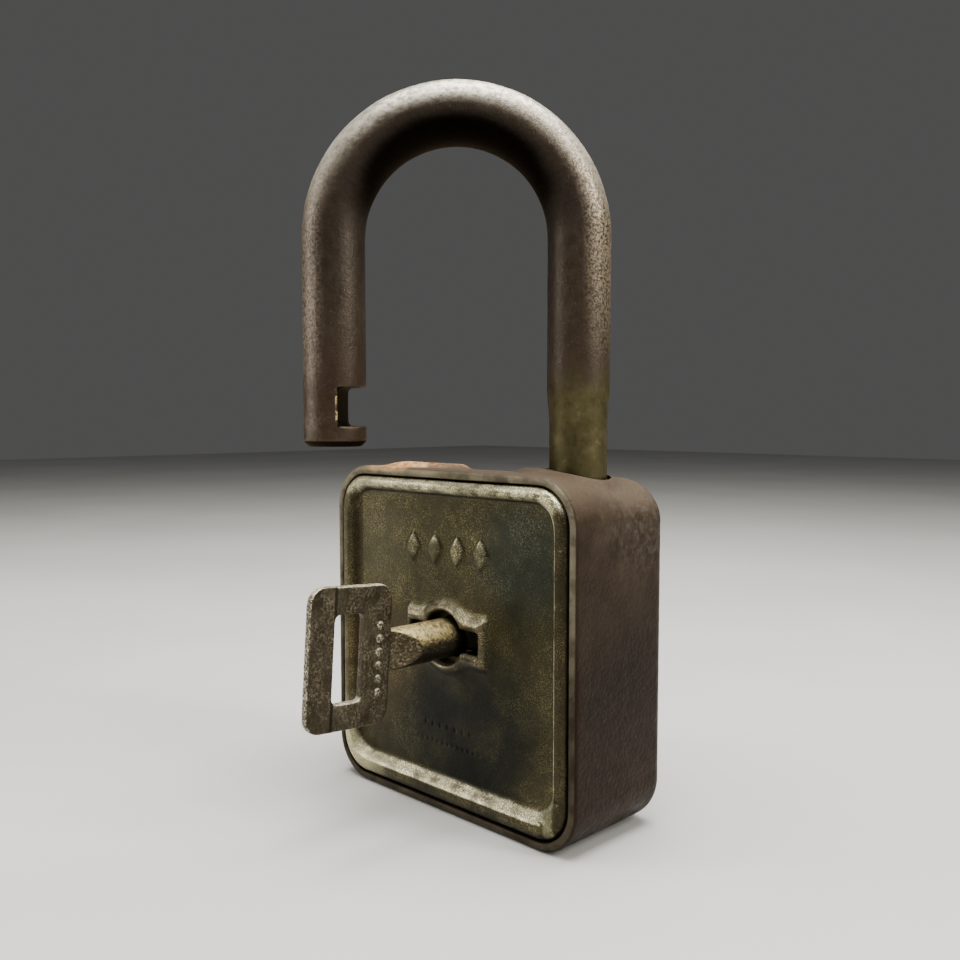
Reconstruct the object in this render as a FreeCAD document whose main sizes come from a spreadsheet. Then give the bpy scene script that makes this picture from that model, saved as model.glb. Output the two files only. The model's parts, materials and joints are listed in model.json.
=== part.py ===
import FreeCAD, Part
import math
import os
import re
import Sketcher
from FreeCAD import Placement, Rotation, Vector

# A double-bitted lever padlock with its key, in millimetres.
# X runs across the front, Y from front to back, Z up; the origin is the middle of the base.
# It is drawn open: the shackle is up and swung aside, and the key is in its keyhole.

DIMENSIONS = {
    # Lock body
    "body_width": 60.0,
    "body_height": 60.6,
    "body_depth": 24.0,
    "corner_radius": 8.2,
    "rear_radius": 2.8,
    "wall": 1.6,
    "overshoot": 1.0,
    "heel_hole_ease": 0.25,
    "toe_hole_ease": 0.35,
    "rim_round": 0.5,
    "boss_rise": 0.8,
    "boss_start": 8.0,
    "boss_peak": 10.0,
    "boss_flat_end": 13.0,
    "boss_fall_end": 23.6,
    "boss_end": 26.6,
    "boss_edge_round": 0.7,
    "top_fall": 0.9,
    # Front plate
    "seam_gap": 0.2,
    "plate_back": -9.4,
    "plate_crest": -12.6,
    "panel_face": -10.8,
    "panel_half_width": 25.0,
    "panel_low": 6.2,
    "panel_high": 56.2,
    "panel_radius": 4.6,
    "bead_round": 1.2,
    # Keyhole
    "key_height": 31.2,
    "keyhole_radius": 4.7,
    "wing_reach": 8.55,
    "wing_half_height": 2.05,
    "lip_radius": 6.9,
    "lip_reach": 10.6,
    "lip_half_height": 5.0,
    "lip_rise": 1.5,
    "lip_taper": -38.0,
    "lip_corner": 1.5,
    "keyhole_corner": 0.4,
    # Shackle
    "rod_radius": 5.25,
    "leg_radius": 4.85,
    "heel_offset": 20.4,
    "leg_spacing": 40.6,
    "bend_height": 99.0,
    "toe_end": 64.8,
    "toe_chamfer": 0.9,
    "notch_low": 68.25,
    "notch_high": 74.6,
    "notch_floor": 1.47,
    "notch_round": 0.7,
    "taper_low": 69.0,
    "taper_high": 74.0,
    "heel_end": 34.95,
    "swing_angle": 43.18,
    "shackle_travel": 18.6,
    # Guides and spring of the shackle
    "leg_clearance": 0.08,
    "rod_clearance": 0.2,
    "guide_radius": 6.8,
    "tube_bore": 6.05,
    "tube_low": 5.2,
    "tube_floor": 6.8,
    "bush_low": 40.0,
    "bush_step": 49.6,
    "collar_radius": 5.9,
    "collar_top": 39.9,
    "collar_pin_radius": 1.0,
    "collar_pin_height": 37.4,
    "collar_pin_inset": 0.2,
    "pin_clearance": 0.02,
    "trim_margin": 0.05,
    "washer_top": 34.85,
    "washer_thick": 1.25,
    "washer_radius": 5.8,
    "washer_boss": 3.0,
    "washer_boss_length": 2.0,
    "coil_radius": 4.6,
    "coil_wire": 0.55,
    "coil_turns": 6.5,
    "foot_half_width": 3.0,
    "foot_back": 10.38,
    "foot_overlap": 1.2,
    "toe_bush_low": 56.4,
    "toe_cup_low": 43.6,
    "toe_cup_floor": 45.6,
    "toe_cup_top": 49.4,
    # Plates and posts of the lever case
    "case_half_width": 12.8,
    "case_low": 21.2,
    "case_high": 57.5,
    "case_radius": 2.0,
    "case_front": 4.6,
    "case_thick": 1.6,
    "cap_front": -7.4,
    "cap_thick": 1.0,
    "cap_high": 56.5,
    "pillar_x": 11.2,
    "pillar_low": 23.8,
    "pillar_high": 39.05,
    "pillar_radius": 1.4,
    "pillar_tip_radius": 1.0,
    "spacer_radius": 2.2,
    "spacer_high": 54.0,
    "screw_radius": 2.1,
    "screw_thick": 0.9,
    "screw_slot": 0.5,
    # Key
    "shank_radius": 3.5,
    "nose_radius": 2.2,
    "nose_end": 7.5,
    "key_end": 7.2,
    "bit_front": -9.0,
    "bit_back": 4.2,
    "bit_reach": 8.2,
    "bit_half_height": 1.7,
    "bow_root": -24.3,
    "bow_length": 16.4,
    "bow_low": -12.0,
    "bow_high": 11.25,
    "bow_radius": 2.8,
    "bow_thick": 1.8,
    "bow_round": 0.5,
    "bow_tilt": 4.0,
    "slot_near": 5.8,
    "slot_far": 11.5,
    "slot_low": -7.5,
    "slot_high": 6.55,
    "slot_radius": 0.9,
    "flat_end": -19.6,
    # Curtain and nose bush
    "curtain_front": -9.15,
    "curtain_shoulder": -7.6,
    "curtain_back": -6.5,
    "curtain_flange": 10.2,
    "curtain_hub": 9.2,
    "curtain_clearance": 0.05,
    "curtain_slot": 8.5,
    "curtain_slot_half": 1.9,
    "curtain_bore": 3.75,
    "nose_bush_radius": 4.0,
    # Levers
    "stack_front": -6.1,
    "lever_pitch": 1.3,
    "lever_thick": 1.1,
    "lever_gap": 0.1,
    "pivot_x": 9.5,
    "pivot_height": 44.5,
    "post_radius": 1.5,
    "post_clearance": 0.05,
    "lever_boss": 3.2,
    "lever_end": -12.6,
    "lever_top": 47.3,
    "lever_low": 40.6,
    "belly_half_width": 3.6,
    "belly_clearance": 0.15,
    "gate_left": -10.5,
    "gate_right": -3.2,
    "gate_low": 42.0,
    "gate_high": 46.2,
    "gate_radius": 0.6,
    "finger_tip_x": -2.8,
    "finger_tip_height": 51.1,
    "finger_root_x": 6.6,
    "finger_thick": 0.45,
    "rest_x": -2.0,
    "rest_height": 53.6,
    "rest_radius": 1.0,
    # Bolt
    "bolt_low": 50.1,
    "bolt_high": 55.5,
    "nose_tip": -18.5,
    "nose_back": -14.0,
    "nose_half_depth": 4.0,
    "nose_bevel": 1.6,
    "bolt_front": 2.2,
    "bolt_thick": 1.8,
    "arm_left": -12.0,
    "arm_low": 41.6,
    "talon_left": -2.0,
    "talon_right": 2.6,
    "talon_low": 35.6,
    "stump_x": -8.8,
    "stump_height": 44.8,
    "stump_radius": 1.3,
    "stud_x": -4.0,
    "stud_radius": 1.3,
    "stud_head": 2.0,
    "stud_head_thick": 0.4,
    "stud_head_gap": 0.1,
    "bolt_travel": 3.9,
    "slot_ease": 0.1,
    "plate_overlap": 0.5,
    "spigot_radius": 0.9,
    "spigot_depth": 2.25,
    "spigot_end": 7.0,
    "bolt_coil_radius": 1.6,
    "bolt_coil_wire": 0.35,
    "bolt_coil_end": 7.6,
    "bolt_coil_turns": 5.0,
    "spring_stop_x": 11.6,
    "spring_stop_front": 0.3,
    "spring_stop_low": 50.8,
    "spring_stop_height": 4.0,
    "guide_rail_low": 55.65,
    "guide_rail_height": 1.7,
}

# How far each lever's bit reaches from the key's axis, and how far that lever lifts, in degrees.
BIT_REACH = (8.2, 7.2, 7.8, 6.8, 7.6, 7.0)
LEVER_LIFT = (6.0, 4.4, 5.4, 3.8, 5.0, 4.2)

ALONG_X = Rotation(Vector(0, 1, 0), 90)
ALONG_Y = Rotation(Vector(1, 0, 0), -90)
ALONG_Z = Rotation()

doc = FreeCAD.newDocument("padlock")
parts = {}


def make_sheet():
    """The spreadsheet of driving dimensions, one alias to a row."""
    sheet = doc.addObject("Spreadsheet::Sheet", "Dims")
    for number, (reach, lift) in enumerate(zip(BIT_REACH, LEVER_LIFT), 1):
        DIMENSIONS[f"bit_reach_{number}"] = reach
        DIMENSIONS[f"lever_lift_{number}"] = lift
    for row, (alias, number) in enumerate(DIMENSIONS.items(), 1):
        sheet.set(f"A{row}", alias)
        sheet.set(f"B{row}", str(number))
        sheet.setAlias(f"B{row}", alias)
    doc.recompute()
    return sheet


sheet = make_sheet()


def formula(text):
    """An expression in plain names, with each name pointed at its cell."""
    return re.sub(r"[a-z][a-z0-9_]*", lambda m: f"Dims.{m[0]}" if m[0] in DIMENSIONS else m[0], str(text))


def number_of(text):
    return float(sheet.evalExpression(formula(text)))


def bind(item, **expressions):
    for name, text in expressions.items():
        item.setExpression(name, formula(text))
    return item


def place(item, at, rotation=ALONG_Z):
    """Put an object at a point given as three expressions."""
    item.Placement = Placement(Vector(), rotation)
    for axis, text in zip("xyz", at):
        item.setExpression(f"Placement.Base.{axis}", formula(text))
    return item


def keep(name, item):
    """Name an object as a finished sub-part."""
    item.Label = name
    parts[name] = item
    return item


# Primitives and booleans

def cylinder(name, radius, length, at, rotation=ALONG_Z):
    item = doc.addObject("Part::Cylinder", name)
    bind(item, Radius=radius, Height=length)
    return place(item, at, rotation)


def box(name, low, size):
    item = doc.addObject("Part::Box", name)
    bind(item, Length=size[0], Width=size[1], Height=size[2])
    return place(item, low)


def fuse(name, items):
    item = doc.addObject("Part::MultiFuse", name)
    item.Shapes = items
    item.Refine = True
    return item


def cut(name, base, tools):
    item = doc.addObject("Part::Cut", name)
    item.Base = base
    item.Tool = tools[0] if len(tools) == 1 else fuse(f"{name}_tools", tools)
    item.Refine = True
    return item


def group(name, items):
    """Identical pieces kept in one sub-part as separate solids."""
    item = doc.addObject("Part::Compound", name)
    item.Links = items
    return item


def post(name, radius, front, back, x, height):
    """A round bar along Y between two depths."""
    return cylinder(name, radius, f"({back}) - ({front})", (x, front, height), ALONG_Y)


# Sketches and the features built on them

def new_body(name):
    return doc.addObject("PartDesign::Body", name)


def sketch_on(body, plane, name, offset):
    """A sketch on one of the body's own origin planes, moved along that plane's normal."""
    sketch = body.newObject("Sketcher::SketchObject", name)
    support = next(item for item in body.Origin.OriginFeatures if item.Role == plane)
    sketch.AttachmentSupport = [(support, "")]
    sketch.MapMode = "FlatFace"
    sketch.setExpression("AttachmentOffset.Base.z", formula(offset))
    return sketch


def front_sketch(body, name, depth):
    """A sketch seen from the front, at a depth along Y. Its normal points forward."""
    return sketch_on(body, "XZ_Plane", name, f"-({depth})")


def constrain(sketch, kind, *arguments, text):
    index = sketch.addConstraint(Sketcher.Constraint(kind, *arguments, number_of(text)))
    sketch.setExpression(f"Constraints[{index}]", formula(text))


def pin_point(sketch, element, position, across, up):
    constrain(sketch, "DistanceX", -1, 1, element, position, text=across)
    constrain(sketch, "DistanceY", -1, 1, element, position, text=up)


def draw_circle(sketch, across, up, radius):
    centre = Vector(number_of(across), number_of(up), 0)
    element = sketch.addGeometry(Part.Circle(centre, Vector(0, 0, 1), number_of(radius)), False)
    pin_point(sketch, element, 3, across, up)
    constrain(sketch, "Radius", element, text=radius)


def draw_polygon(sketch, points):
    """A closed outline with a straight side from each point to the next."""
    spots = [Vector(number_of(across), number_of(up), 0) for across, up in points]
    first = sketch.GeometryCount
    count = len(spots)
    for index in range(count):
        sketch.addGeometry(Part.LineSegment(spots[index], spots[(index + 1) % count]), False)
    for index, (across, up) in enumerate(points):
        following = first + (index + 1) % count
        sketch.addConstraint(Sketcher.Constraint("Coincident", first + index, 2, following, 1))
        pin_point(sketch, first + index, 1, across, up)


def draw_round_rectangle(sketch, left, right, low, high, radius):
    """A rectangle with four equal round corners."""
    x0, x1, z0, z1, r = (number_of(text) for text in (left, right, low, high, radius))
    corners = [(x1 - r, z0 + r, 270), (x1 - r, z1 - r, 0), (x0 + r, z1 - r, 90), (x0 + r, z0 + r, 180)]
    first = sketch.GeometryCount
    for x, z, start in corners:
        circle = Part.Circle(Vector(x, z, 0), Vector(0, 0, 1), r)
        low_angle, high_angle = (math.radians(angle) for angle in (start, start + 90))
        sketch.addGeometry(Part.ArcOfCircle(circle, low_angle, high_angle), False)
    for index in range(4):
        here = sketch.Geometry[first + index].EndPoint
        there = sketch.Geometry[first + (index + 1) % 4].StartPoint
        side = sketch.addGeometry(Part.LineSegment(here, there), False)
        sketch.addConstraint(Sketcher.Constraint("Tangent", first + index, 2, side, 1))
        sketch.addConstraint(Sketcher.Constraint("Tangent", side, 2, first + (index + 1) % 4, 1))
        sketch.addConstraint(Sketcher.Constraint("Vertical" if index % 2 == 0 else "Horizontal", side))
    for index in range(1, 4):
        sketch.addConstraint(Sketcher.Constraint("Equal", first, first + index))
    constrain(sketch, "Radius", first, text=radius)
    constrain(sketch, "DistanceX", -1, 1, first, 2, text=right)
    constrain(sketch, "DistanceX", -1, 1, first + 2, 2, text=left)
    constrain(sketch, "DistanceY", -1, 1, first + 1, 2, text=high)
    constrain(sketch, "DistanceY", -1, 1, first + 3, 2, text=low)


def pad(body, name, sketch, length, taper=None):
    item = body.newObject("PartDesign::Pad", name)
    item.Profile = sketch
    bind(item, Length=length)
    if taper:
        bind(item, TaperAngle=taper)
    return item


def pocket(body, name, sketch, length):
    """A pocket against the sketch's normal, checked to have removed something."""
    before = solid_volume(body)
    item = body.newObject("PartDesign::Pocket", name)
    item.Profile = sketch
    bind(item, Length=length)
    if solid_volume(body) >= before:
        raise RuntimeError(f"{name} removed nothing")
    return item


def solid_volume(body):
    doc.recompute()
    return body.Shape.Volume


def round_edges(body, name, radius, chosen):
    """Fillet the edges of the body's tip that pass the test."""
    doc.recompute()
    base = body.Tip
    edges = [f"Edge{i}" for i, edge in enumerate(base.Shape.Edges, 1) if chosen(edge)]
    item = body.newObject("PartDesign::Fillet", name)
    item.Base = (base, edges)
    return bind(item, Radius=radius)


def at_depth(text):
    """A test for edges that lie wholly at one depth."""
    depth = number_of(text)
    return lambda edge: abs(edge.BoundBox.YMin - depth) < 0.01 and abs(edge.BoundBox.YMax - depth) < 0.01


def slab(name, front, thickness):
    """A body with an empty front sketch, and the pad that turns it into a plate."""
    body = new_body(name)
    sketch = front_sketch(body, f"{name}_outline", f"({front}) + ({thickness})")
    return body, sketch


# The lock body

def make_shell():
    """Deep-drawn steel shell, open at the front, with a raised boss round each shackle hole."""
    body = new_body("body_shell_body")
    outline = front_sketch(body, "shell_outline", "body_depth / 2")
    draw_round_rectangle(outline, "-body_width / 2", "body_width / 2", "0", "body_height", "corner_radius")
    pad(body, "shell_block", outline, "body_depth")
    round_edges(body, "shell_rear_edge", "rear_radius", at_depth("body_depth / 2"))
    fall = sketch_on(body, "YZ_Plane", "shell_fall", "boss_start")
    draw_polygon(fall, [
        ("-body_depth / 2 + wall", "body_height"),
        ("body_depth / 2 + wall", "body_height - top_fall - 0.1"),
        ("body_depth / 2 + wall", "body_height + wall"),
        ("-body_depth / 2 + wall", "body_height + wall"),
    ])
    pocket(body, "shell_sloped_top", fall, "2 * boss_start")
    round_edges(body, "shell_rim", "rim_round", at_depth("-body_depth / 2"))
    bosses = [make_boss("heel_boss", 1), make_boss("toe_boss", -1)]
    solid = fuse("shell_solid", [body] + bosses)
    cavity = cavity_block("shell_cavity", "-body_depth / 2 - overshoot", "body_depth / 2 - wall", "0")
    holes = [
        cylinder("heel_hole", "rod_radius + heel_hole_ease", "4 * wall",
                 ("heel_offset", "0", "body_height - 2 * wall")),
        cylinder("toe_hole", "rod_radius + toe_hole_ease", "4 * wall",
                 ("heel_offset - leg_spacing", "0", "body_height - 2 * wall")),
    ]
    return keep("body_shell", cut("shell", solid, [cavity] + holes))


def cavity_block(name, front, back, inset):
    """The space inside the shell's walls, drawn in by an inset."""
    body = new_body(name)
    outline = front_sketch(body, f"{name}_outline", back)
    margin = f"(wall + {inset})"
    draw_round_rectangle(outline, f"-body_width / 2 + {margin}", f"body_width / 2 - {margin}",
                         margin, f"body_height - {margin}", f"corner_radius - {margin}")
    pad(body, f"{name}_block", outline, f"({back}) - ({front})")
    return body


def make_boss(name, side):
    """The raised land round one shackle hole: steep on its inner end, sloping away outwards."""
    body = new_body(name)
    outline = front_sketch(body, f"{name}_outline", "body_depth / 2 - rear_radius + 0.6")
    draw_polygon(outline, [
        (f"{side} * boss_start", "body_height - 2 * wall"),
        (f"{side} * boss_start", "body_height - top_fall"),
        (f"{side} * boss_peak", "body_height + boss_rise"),
        (f"{side} * boss_flat_end", "body_height + boss_rise"),
        (f"{side} * boss_fall_end", "body_height + 0.1"),
        (f"{side} * boss_end", "body_height - 1.2"),
        (f"{side} * boss_end", "body_height - 2 * wall"),
    ])
    pad(body, f"{name}_block", outline, "body_depth - rear_radius - wall - 0.4")
    above = number_of("body_height - overshoot / 2")
    round_edges(body, f"{name}_edge", "boss_edge_round", lambda edge: edge.BoundBox.ZMin > above)
    return body


def make_front_plate():
    """Pressed plate with a raised bead round a sunk panel, and a raised lip round the keyhole."""
    body, outline = slab("front_plate_body", "plate_crest", "plate_back - plate_crest")
    margin = "(wall + seam_gap)"
    draw_round_rectangle(outline, f"-body_width / 2 + {margin}", f"body_width / 2 - {margin}",
                         margin, f"body_height - {margin}", f"corner_radius - {margin}")
    pad(body, "plate_block", outline, "plate_back - plate_crest")
    panel = front_sketch(body, "panel_outline", "plate_crest")
    draw_round_rectangle(panel, "-panel_half_width", "panel_half_width", "panel_low", "panel_high", "panel_radius")
    pocket(body, "panel_pocket", panel, "panel_face - plate_crest")
    round_edges(body, "bead_edge", "bead_round", at_depth("plate_crest"))
    for name in ("lip_round", "lip_wings"):
        sketch = front_sketch(body, f"{name}_outline", "panel_face")
        if name == "lip_round":
            draw_circle(sketch, "0", "key_height", "lip_radius")
        else:
            draw_round_rectangle(sketch, "-lip_reach", "lip_reach", "key_height - lip_half_height",
                                 "key_height + lip_half_height", "lip_corner")
        pad(body, name, sketch, "lip_rise", "lip_taper")
    round_hole = front_sketch(body, "keyhole_round_outline", "plate_crest")
    draw_circle(round_hole, "0", "key_height", "keyhole_radius")
    pocket(body, "keyhole_round", round_hole, "plate_back - plate_crest + overshoot")
    wings = front_sketch(body, "keyhole_wings_outline", "plate_crest")
    draw_round_rectangle(wings, "-wing_reach", "wing_reach", "key_height - wing_half_height",
                         "key_height + wing_half_height", "keyhole_corner")
    pocket(body, "keyhole_wings", wings, "plate_back - plate_crest + overshoot")
    return keep("front_plate", body)


# The shackle and what carries it

def make_shackle():
    """Round steel shackle, notched at the toe and thinner at the heel, swung about the heel's axis."""
    toe = "heel_offset - leg_spacing"
    heel_leg = cylinder("heel_leg", "leg_radius", "taper_low - heel_end", ("heel_offset", "0", "heel_end"))
    taper = doc.addObject("Part::Cone", "heel_taper")
    bind(taper, Radius1="leg_radius", Radius2="rod_radius", Height="taper_high - taper_low")
    place(taper, ("heel_offset", "0", "taper_low"))
    upper_leg = cylinder("upper_leg", "rod_radius", "bend_height - taper_high", ("heel_offset", "0", "taper_high"))
    bend = doc.addObject("Part::Torus", "shackle_bend")
    bind(bend, Radius1="leg_spacing / 2", Radius2="rod_radius")
    bend.Angle3 = 180
    place(bend, ("heel_offset - leg_spacing / 2", "0", "bend_height"), Rotation(Vector(1, 0, 0), 90))
    toe_leg = cylinder("toe_leg", "rod_radius", "bend_height - toe_end", (toe, "0", "toe_end"))
    doc.recompute()
    toe_tip = doc.addObject("Part::Chamfer", "toe_tip")
    toe_tip.Base = toe_leg
    size = number_of("toe_chamfer")
    low = number_of("toe_end")
    toe_tip.Edges = [(i, size, size) for i, edge in enumerate(toe_leg.Shape.Edges, 1)
                     if abs(edge.BoundBox.ZMax - low) < 0.01]
    whole = fuse("shackle_rod", [heel_leg, taper, upper_leg, bend, toe_tip])
    notch = box("notch_block", (f"{toe} + notch_floor", "-2 * rod_radius", "notch_low"),
                ("2 * rod_radius", "4 * rod_radius", "notch_high - notch_low"))
    doc.recompute()
    floor = number_of(f"{toe} + notch_floor")
    notch_rounded = doc.addObject("Part::Fillet", "notch_rounded")
    notch_rounded.Base = notch
    radius = number_of("notch_round")
    notch_rounded.Edges = [(i, radius, radius) for i, edge in enumerate(notch.Shape.Edges, 1)
                           if abs(edge.BoundBox.XMax - floor) < 0.01 and edge.BoundBox.ZLength < 0.01]
    pin_hole = cylinder("leg_pin_hole", "collar_pin_radius + pin_clearance", "4 * collar_radius",
                        ("heel_offset - 2 * collar_radius", "0", "collar_pin_height"), ALONG_X)
    shackle = cut("shackle_cut", whole, [notch_rounded, pin_hole])
    return keep("shackle", swing(shackle))


def swing(item):
    """Turn a piece with the shackle, from over the body to where it stands open."""
    item.Placement = Placement(Vector(), Rotation(Vector(0, 0, 1), number_of("swing_angle")))
    item.setExpression("Placement.Base.x", formula("heel_offset * (1 - cos(swing_angle * 1deg))"))
    item.setExpression("Placement.Base.y", formula("-heel_offset * sin(swing_angle * 1deg)"))
    item.setExpression("Placement.Rotation.Angle", formula("swing_angle"))
    return item


def make_collar():
    """Stop collar pinned to the heel leg."""
    ring = cylinder("collar_ring", "collar_radius", "collar_top - heel_end", ("heel_offset", "0", "heel_end"))
    bore = cylinder("collar_bore", "leg_radius + pin_clearance", "2 * collar_radius",
                    ("heel_offset", "0", "heel_end - overshoot"))
    pin_hole = cylinder("collar_pin_hole", "collar_pin_radius + pin_clearance", "4 * collar_radius",
                        ("heel_offset - 2 * collar_radius", "0", "collar_pin_height"), ALONG_X)
    keep("stop_collar", swing(cut("collar_cut", ring, [bore, pin_hole])))
    pin = cylinder("collar_pin_rod", "collar_pin_radius", "2 * (collar_radius - collar_pin_inset)",
                   ("heel_offset - collar_radius + collar_pin_inset", "0", "collar_pin_height"), ALONG_X)
    holder = doc.addObject("Part::Compound", "collar_pin_holder")
    holder.Links = [pin]
    keep("collar_pin", swing(holder))


def make_spring_washer():
    """Thrust washer between the spring and the turning collar."""
    disc = cylinder("washer_disc", "washer_radius", "washer_thick",
                    ("heel_offset", "0", "washer_top - washer_thick"))
    boss = cylinder("washer_spigot", "washer_boss", "washer_boss_length",
                    ("heel_offset", "0", "washer_top - washer_thick - washer_boss_length"))
    keep("spring_washer", fuse("washer", [disc, boss]))


def coil(name, radius, wire, length, turns, at, rotation=ALONG_Z):
    """A round-wire compression spring from its first coil's underside to its last coil's top."""
    height = number_of(length) - 2 * number_of(wire)
    helix = Part.makeHelix(height / number_of(turns), height, number_of(radius))
    start = helix.Vertexes[0].Point
    section = Part.Wire(Part.makeCircle(number_of(wire), start, Vector(0, 1, 0)))
    item = doc.addObject("Part::Feature", name)
    item.Shape = Part.Wire(helix.Edges).makePipeShell([section], True, True)
    first_coil = rotation.multVec(Vector(0, 0, number_of(wire)))
    item.Placement = Placement(Vector(*(number_of(text) for text in at)) + first_coil, rotation)
    return keep(name, item)


def foot(name, x, low, high):
    """A block that stands a tube off the shell's back wall."""
    return box(name, (f"{x} - foot_half_width", "guide_radius - foot_overlap", low),
               ("2 * foot_half_width", "foot_back - guide_radius + foot_overlap", f"({high}) - ({low})"))


def make_heel_guides():
    """Spring tube with a closed bottom, and the stepped bush above it."""
    tube = fuse("heel_tube_outside", [
        cylinder("heel_tube_wall", "guide_radius", "bush_low - tube_low", ("heel_offset", "0", "tube_low")),
        foot("heel_tube_foot", "heel_offset", "tube_low + 3", "bush_low - 4"),
    ])
    bore = cylinder("heel_tube_bore", "tube_bore", "bush_low", ("heel_offset", "0", "tube_floor"))
    keep("heel_tube", cut("heel_tube_cut", tube, [bore]))
    bush = fuse("heel_bush_outside", [
        cylinder("heel_bush_wall", "guide_radius", "body_height - bush_low", ("heel_offset", "0", "bush_low")),
        foot("heel_bush_foot", "heel_offset", "bush_low + 2", "body_height - 4"),
    ])
    bores = [
        cylinder("heel_bush_bore", "leg_radius + leg_clearance", "body_height",
                 ("heel_offset", "0", "bush_low - overshoot")),
        cylinder("heel_bush_mouth", "rod_radius + rod_clearance", "body_height",
                 ("heel_offset", "0", "bush_step")),
    ]
    keep("heel_bush", inside_shell("heel_bush_trimmed", cut("heel_bush_cut", bush, bores)))


def inside_shell(name, item):
    """Trim a piece to the space inside the shell."""
    space = cavity_block(f"{name}_space", "-body_depth / 2", "body_depth / 2 - wall - pin_clearance", "trim_margin")
    common = doc.addObject("Part::Common", name)
    common.Base = item
    common.Tool = space
    return common


def make_toe_guides():
    """Ring under the shell's top and the cup below it, with the bolt's path between them."""
    toe = "(heel_offset - leg_spacing)"
    ring = fuse("toe_bush_outside", [
        cylinder("toe_bush_wall", "guide_radius", "body_height - toe_bush_low", (toe, "0", "toe_bush_low")),
        foot("toe_bush_foot", toe, "toe_bush_low", "body_height - wall - 0.1"),
    ])
    ring_bore = cylinder("toe_bush_bore", "rod_radius + rod_clearance", "body_height",
                         (toe, "0", "toe_bush_low - overshoot"))
    keep("toe_bush", inside_shell("toe_bush_trimmed", cut("toe_bush_cut", ring, [ring_bore])))
    cup = fuse("toe_cup_outside", [
        cylinder("toe_cup_wall", "guide_radius", "toe_cup_top - toe_cup_low", (toe, "0", "toe_cup_low")),
        foot("toe_cup_foot", toe, "toe_cup_low", "toe_cup_top"),
    ])
    cup_bore = cylinder("toe_cup_bore", "rod_radius + rod_clearance", "body_height", (toe, "0", "toe_cup_floor"))
    keep("toe_cup", cut("toe_cup_cut", cup, [cup_bore]))


# The lever case

def post_places():
    """The four pillars, as (x, height)."""
    return [(f"{side}pillar_x", height) for side in ("-", "") for height in ("pillar_low", "pillar_high")]


def make_case_plate():
    """Back plate that carries every post of the lever case."""
    body, outline = slab("case_plate_body", "case_front", "case_thick")
    draw_round_rectangle(outline, "-case_half_width", "case_half_width", "case_low", "case_high", "case_radius")
    pad(body, "case_block", outline, "case_thick")
    holes = front_sketch(body, "case_holes", "case_front")
    draw_circle(holes, "0", "key_height", "nose_bush_radius + pin_clearance")
    draw_circle(holes, "pivot_x", "pivot_height", "post_radius + pin_clearance")
    draw_circle(holes, "stud_x", "(bolt_low + bolt_high) / 2", "stud_radius + pin_clearance")
    for x, height in post_places():
        draw_circle(holes, x, height, "pillar_radius + pin_clearance")
    pocket(body, "case_bores", holes, "case_thick + overshoot")
    return keep("case_plate", body)


def make_cap_plate():
    """Front plate of the lever case, with the round seat that the curtain turns in."""
    body, outline = slab("cap_plate_body", "cap_front", "cap_thick")
    draw_round_rectangle(outline, "-case_half_width", "case_half_width", "case_low", "cap_high", "case_radius")
    pad(body, "cap_block", outline, "cap_thick")
    holes = front_sketch(body, "cap_holes", "cap_front")
    draw_circle(holes, "0", "key_height", "curtain_hub + curtain_clearance")
    draw_circle(holes, "pivot_x", "pivot_height", "post_radius + pin_clearance")
    draw_circle(holes, "rest_x", "rest_height", "rest_radius + pin_clearance")
    for x, height in post_places():
        draw_circle(holes, x, height, "pillar_tip_radius + pin_clearance")
    pocket(body, "cap_bores", holes, "cap_thick + overshoot")
    return keep("cap_plate", body)


def make_posts():
    """Pillars, screws and spacers of the case, the levers' pivot and the bar their springs press on."""
    pillars = []
    screws = []
    for number, (x, height) in enumerate(post_places(), 1):
        shank = post(f"pillar_shank_{number}", "pillar_radius", "cap_front + cap_thick", "case_front + case_thick",
                     x, height)
        tip = post(f"pillar_tip_{number}", "pillar_tip_radius", "cap_front", "case_front", x, height)
        pillars.append(fuse(f"pillar_{number}", [shank, tip]))
        head = post(f"screw_head_{number}", "screw_radius", "cap_front - screw_thick", "cap_front", x, height)
        slot = box(f"screw_slot_{number}",
                   (f"{x} - screw_radius", "cap_front - screw_thick", f"{height} - screw_slot / 2"),
                   ("2 * screw_radius", "screw_thick / 2", "screw_slot"))
        screws.append(cut(f"screw_{number}", head, [slot]))
    keep("case_pillars", group("pillar_group", pillars))
    keep("cap_screws", group("screw_group", screws))
    spacers = [post(f"spacer_{side}_{level}", "spacer_radius", "case_front + case_thick", "foot_back",
                    f"{side}pillar_x", level)
               for side in ("-", "") for level in ("pillar_low", "spacer_high")]
    keep("case_spacers", group("spacer_group", spacers))
    keep("lever_post", post("lever_post_rod", "post_radius", "cap_front", "case_front + case_thick",
                            "pivot_x", "pivot_height"))
    keep("spring_rest", post("spring_rest_rod", "rest_radius", "cap_front",
                             f"stack_front + {len(BIT_REACH)} * lever_pitch - lever_gap", "rest_x", "rest_height"))


def make_bolt_guides():
    """Headed stud through the bolt's slot, rail over the bolt, and stop for its spring."""
    middle = "(bolt_low + bolt_high) / 2"
    stud = fuse("bolt_stud_solid", [
        post("bolt_stud_shank", "stud_radius", "bolt_front - stud_head_thick", "case_front + case_thick",
             "stud_x", middle),
        post("bolt_stud_head", "stud_head", "bolt_front - stud_head_gap - stud_head_thick",
             "bolt_front - stud_head_gap", "stud_x", middle),
    ])
    keep("bolt_stud", stud)
    keep("bolt_rail", box("bolt_rail_block", ("arm_left", "bolt_front", "guide_rail_low"),
                          ("talon_right - arm_left", "case_front - bolt_front", "guide_rail_height")))
    keep("spring_stop", box("spring_stop_block", ("spring_stop_x", "spring_stop_front", "spring_stop_low"),
                            ("case_half_width - spring_stop_x", "case_front - spring_stop_front",
                             "spring_stop_height")))


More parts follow.
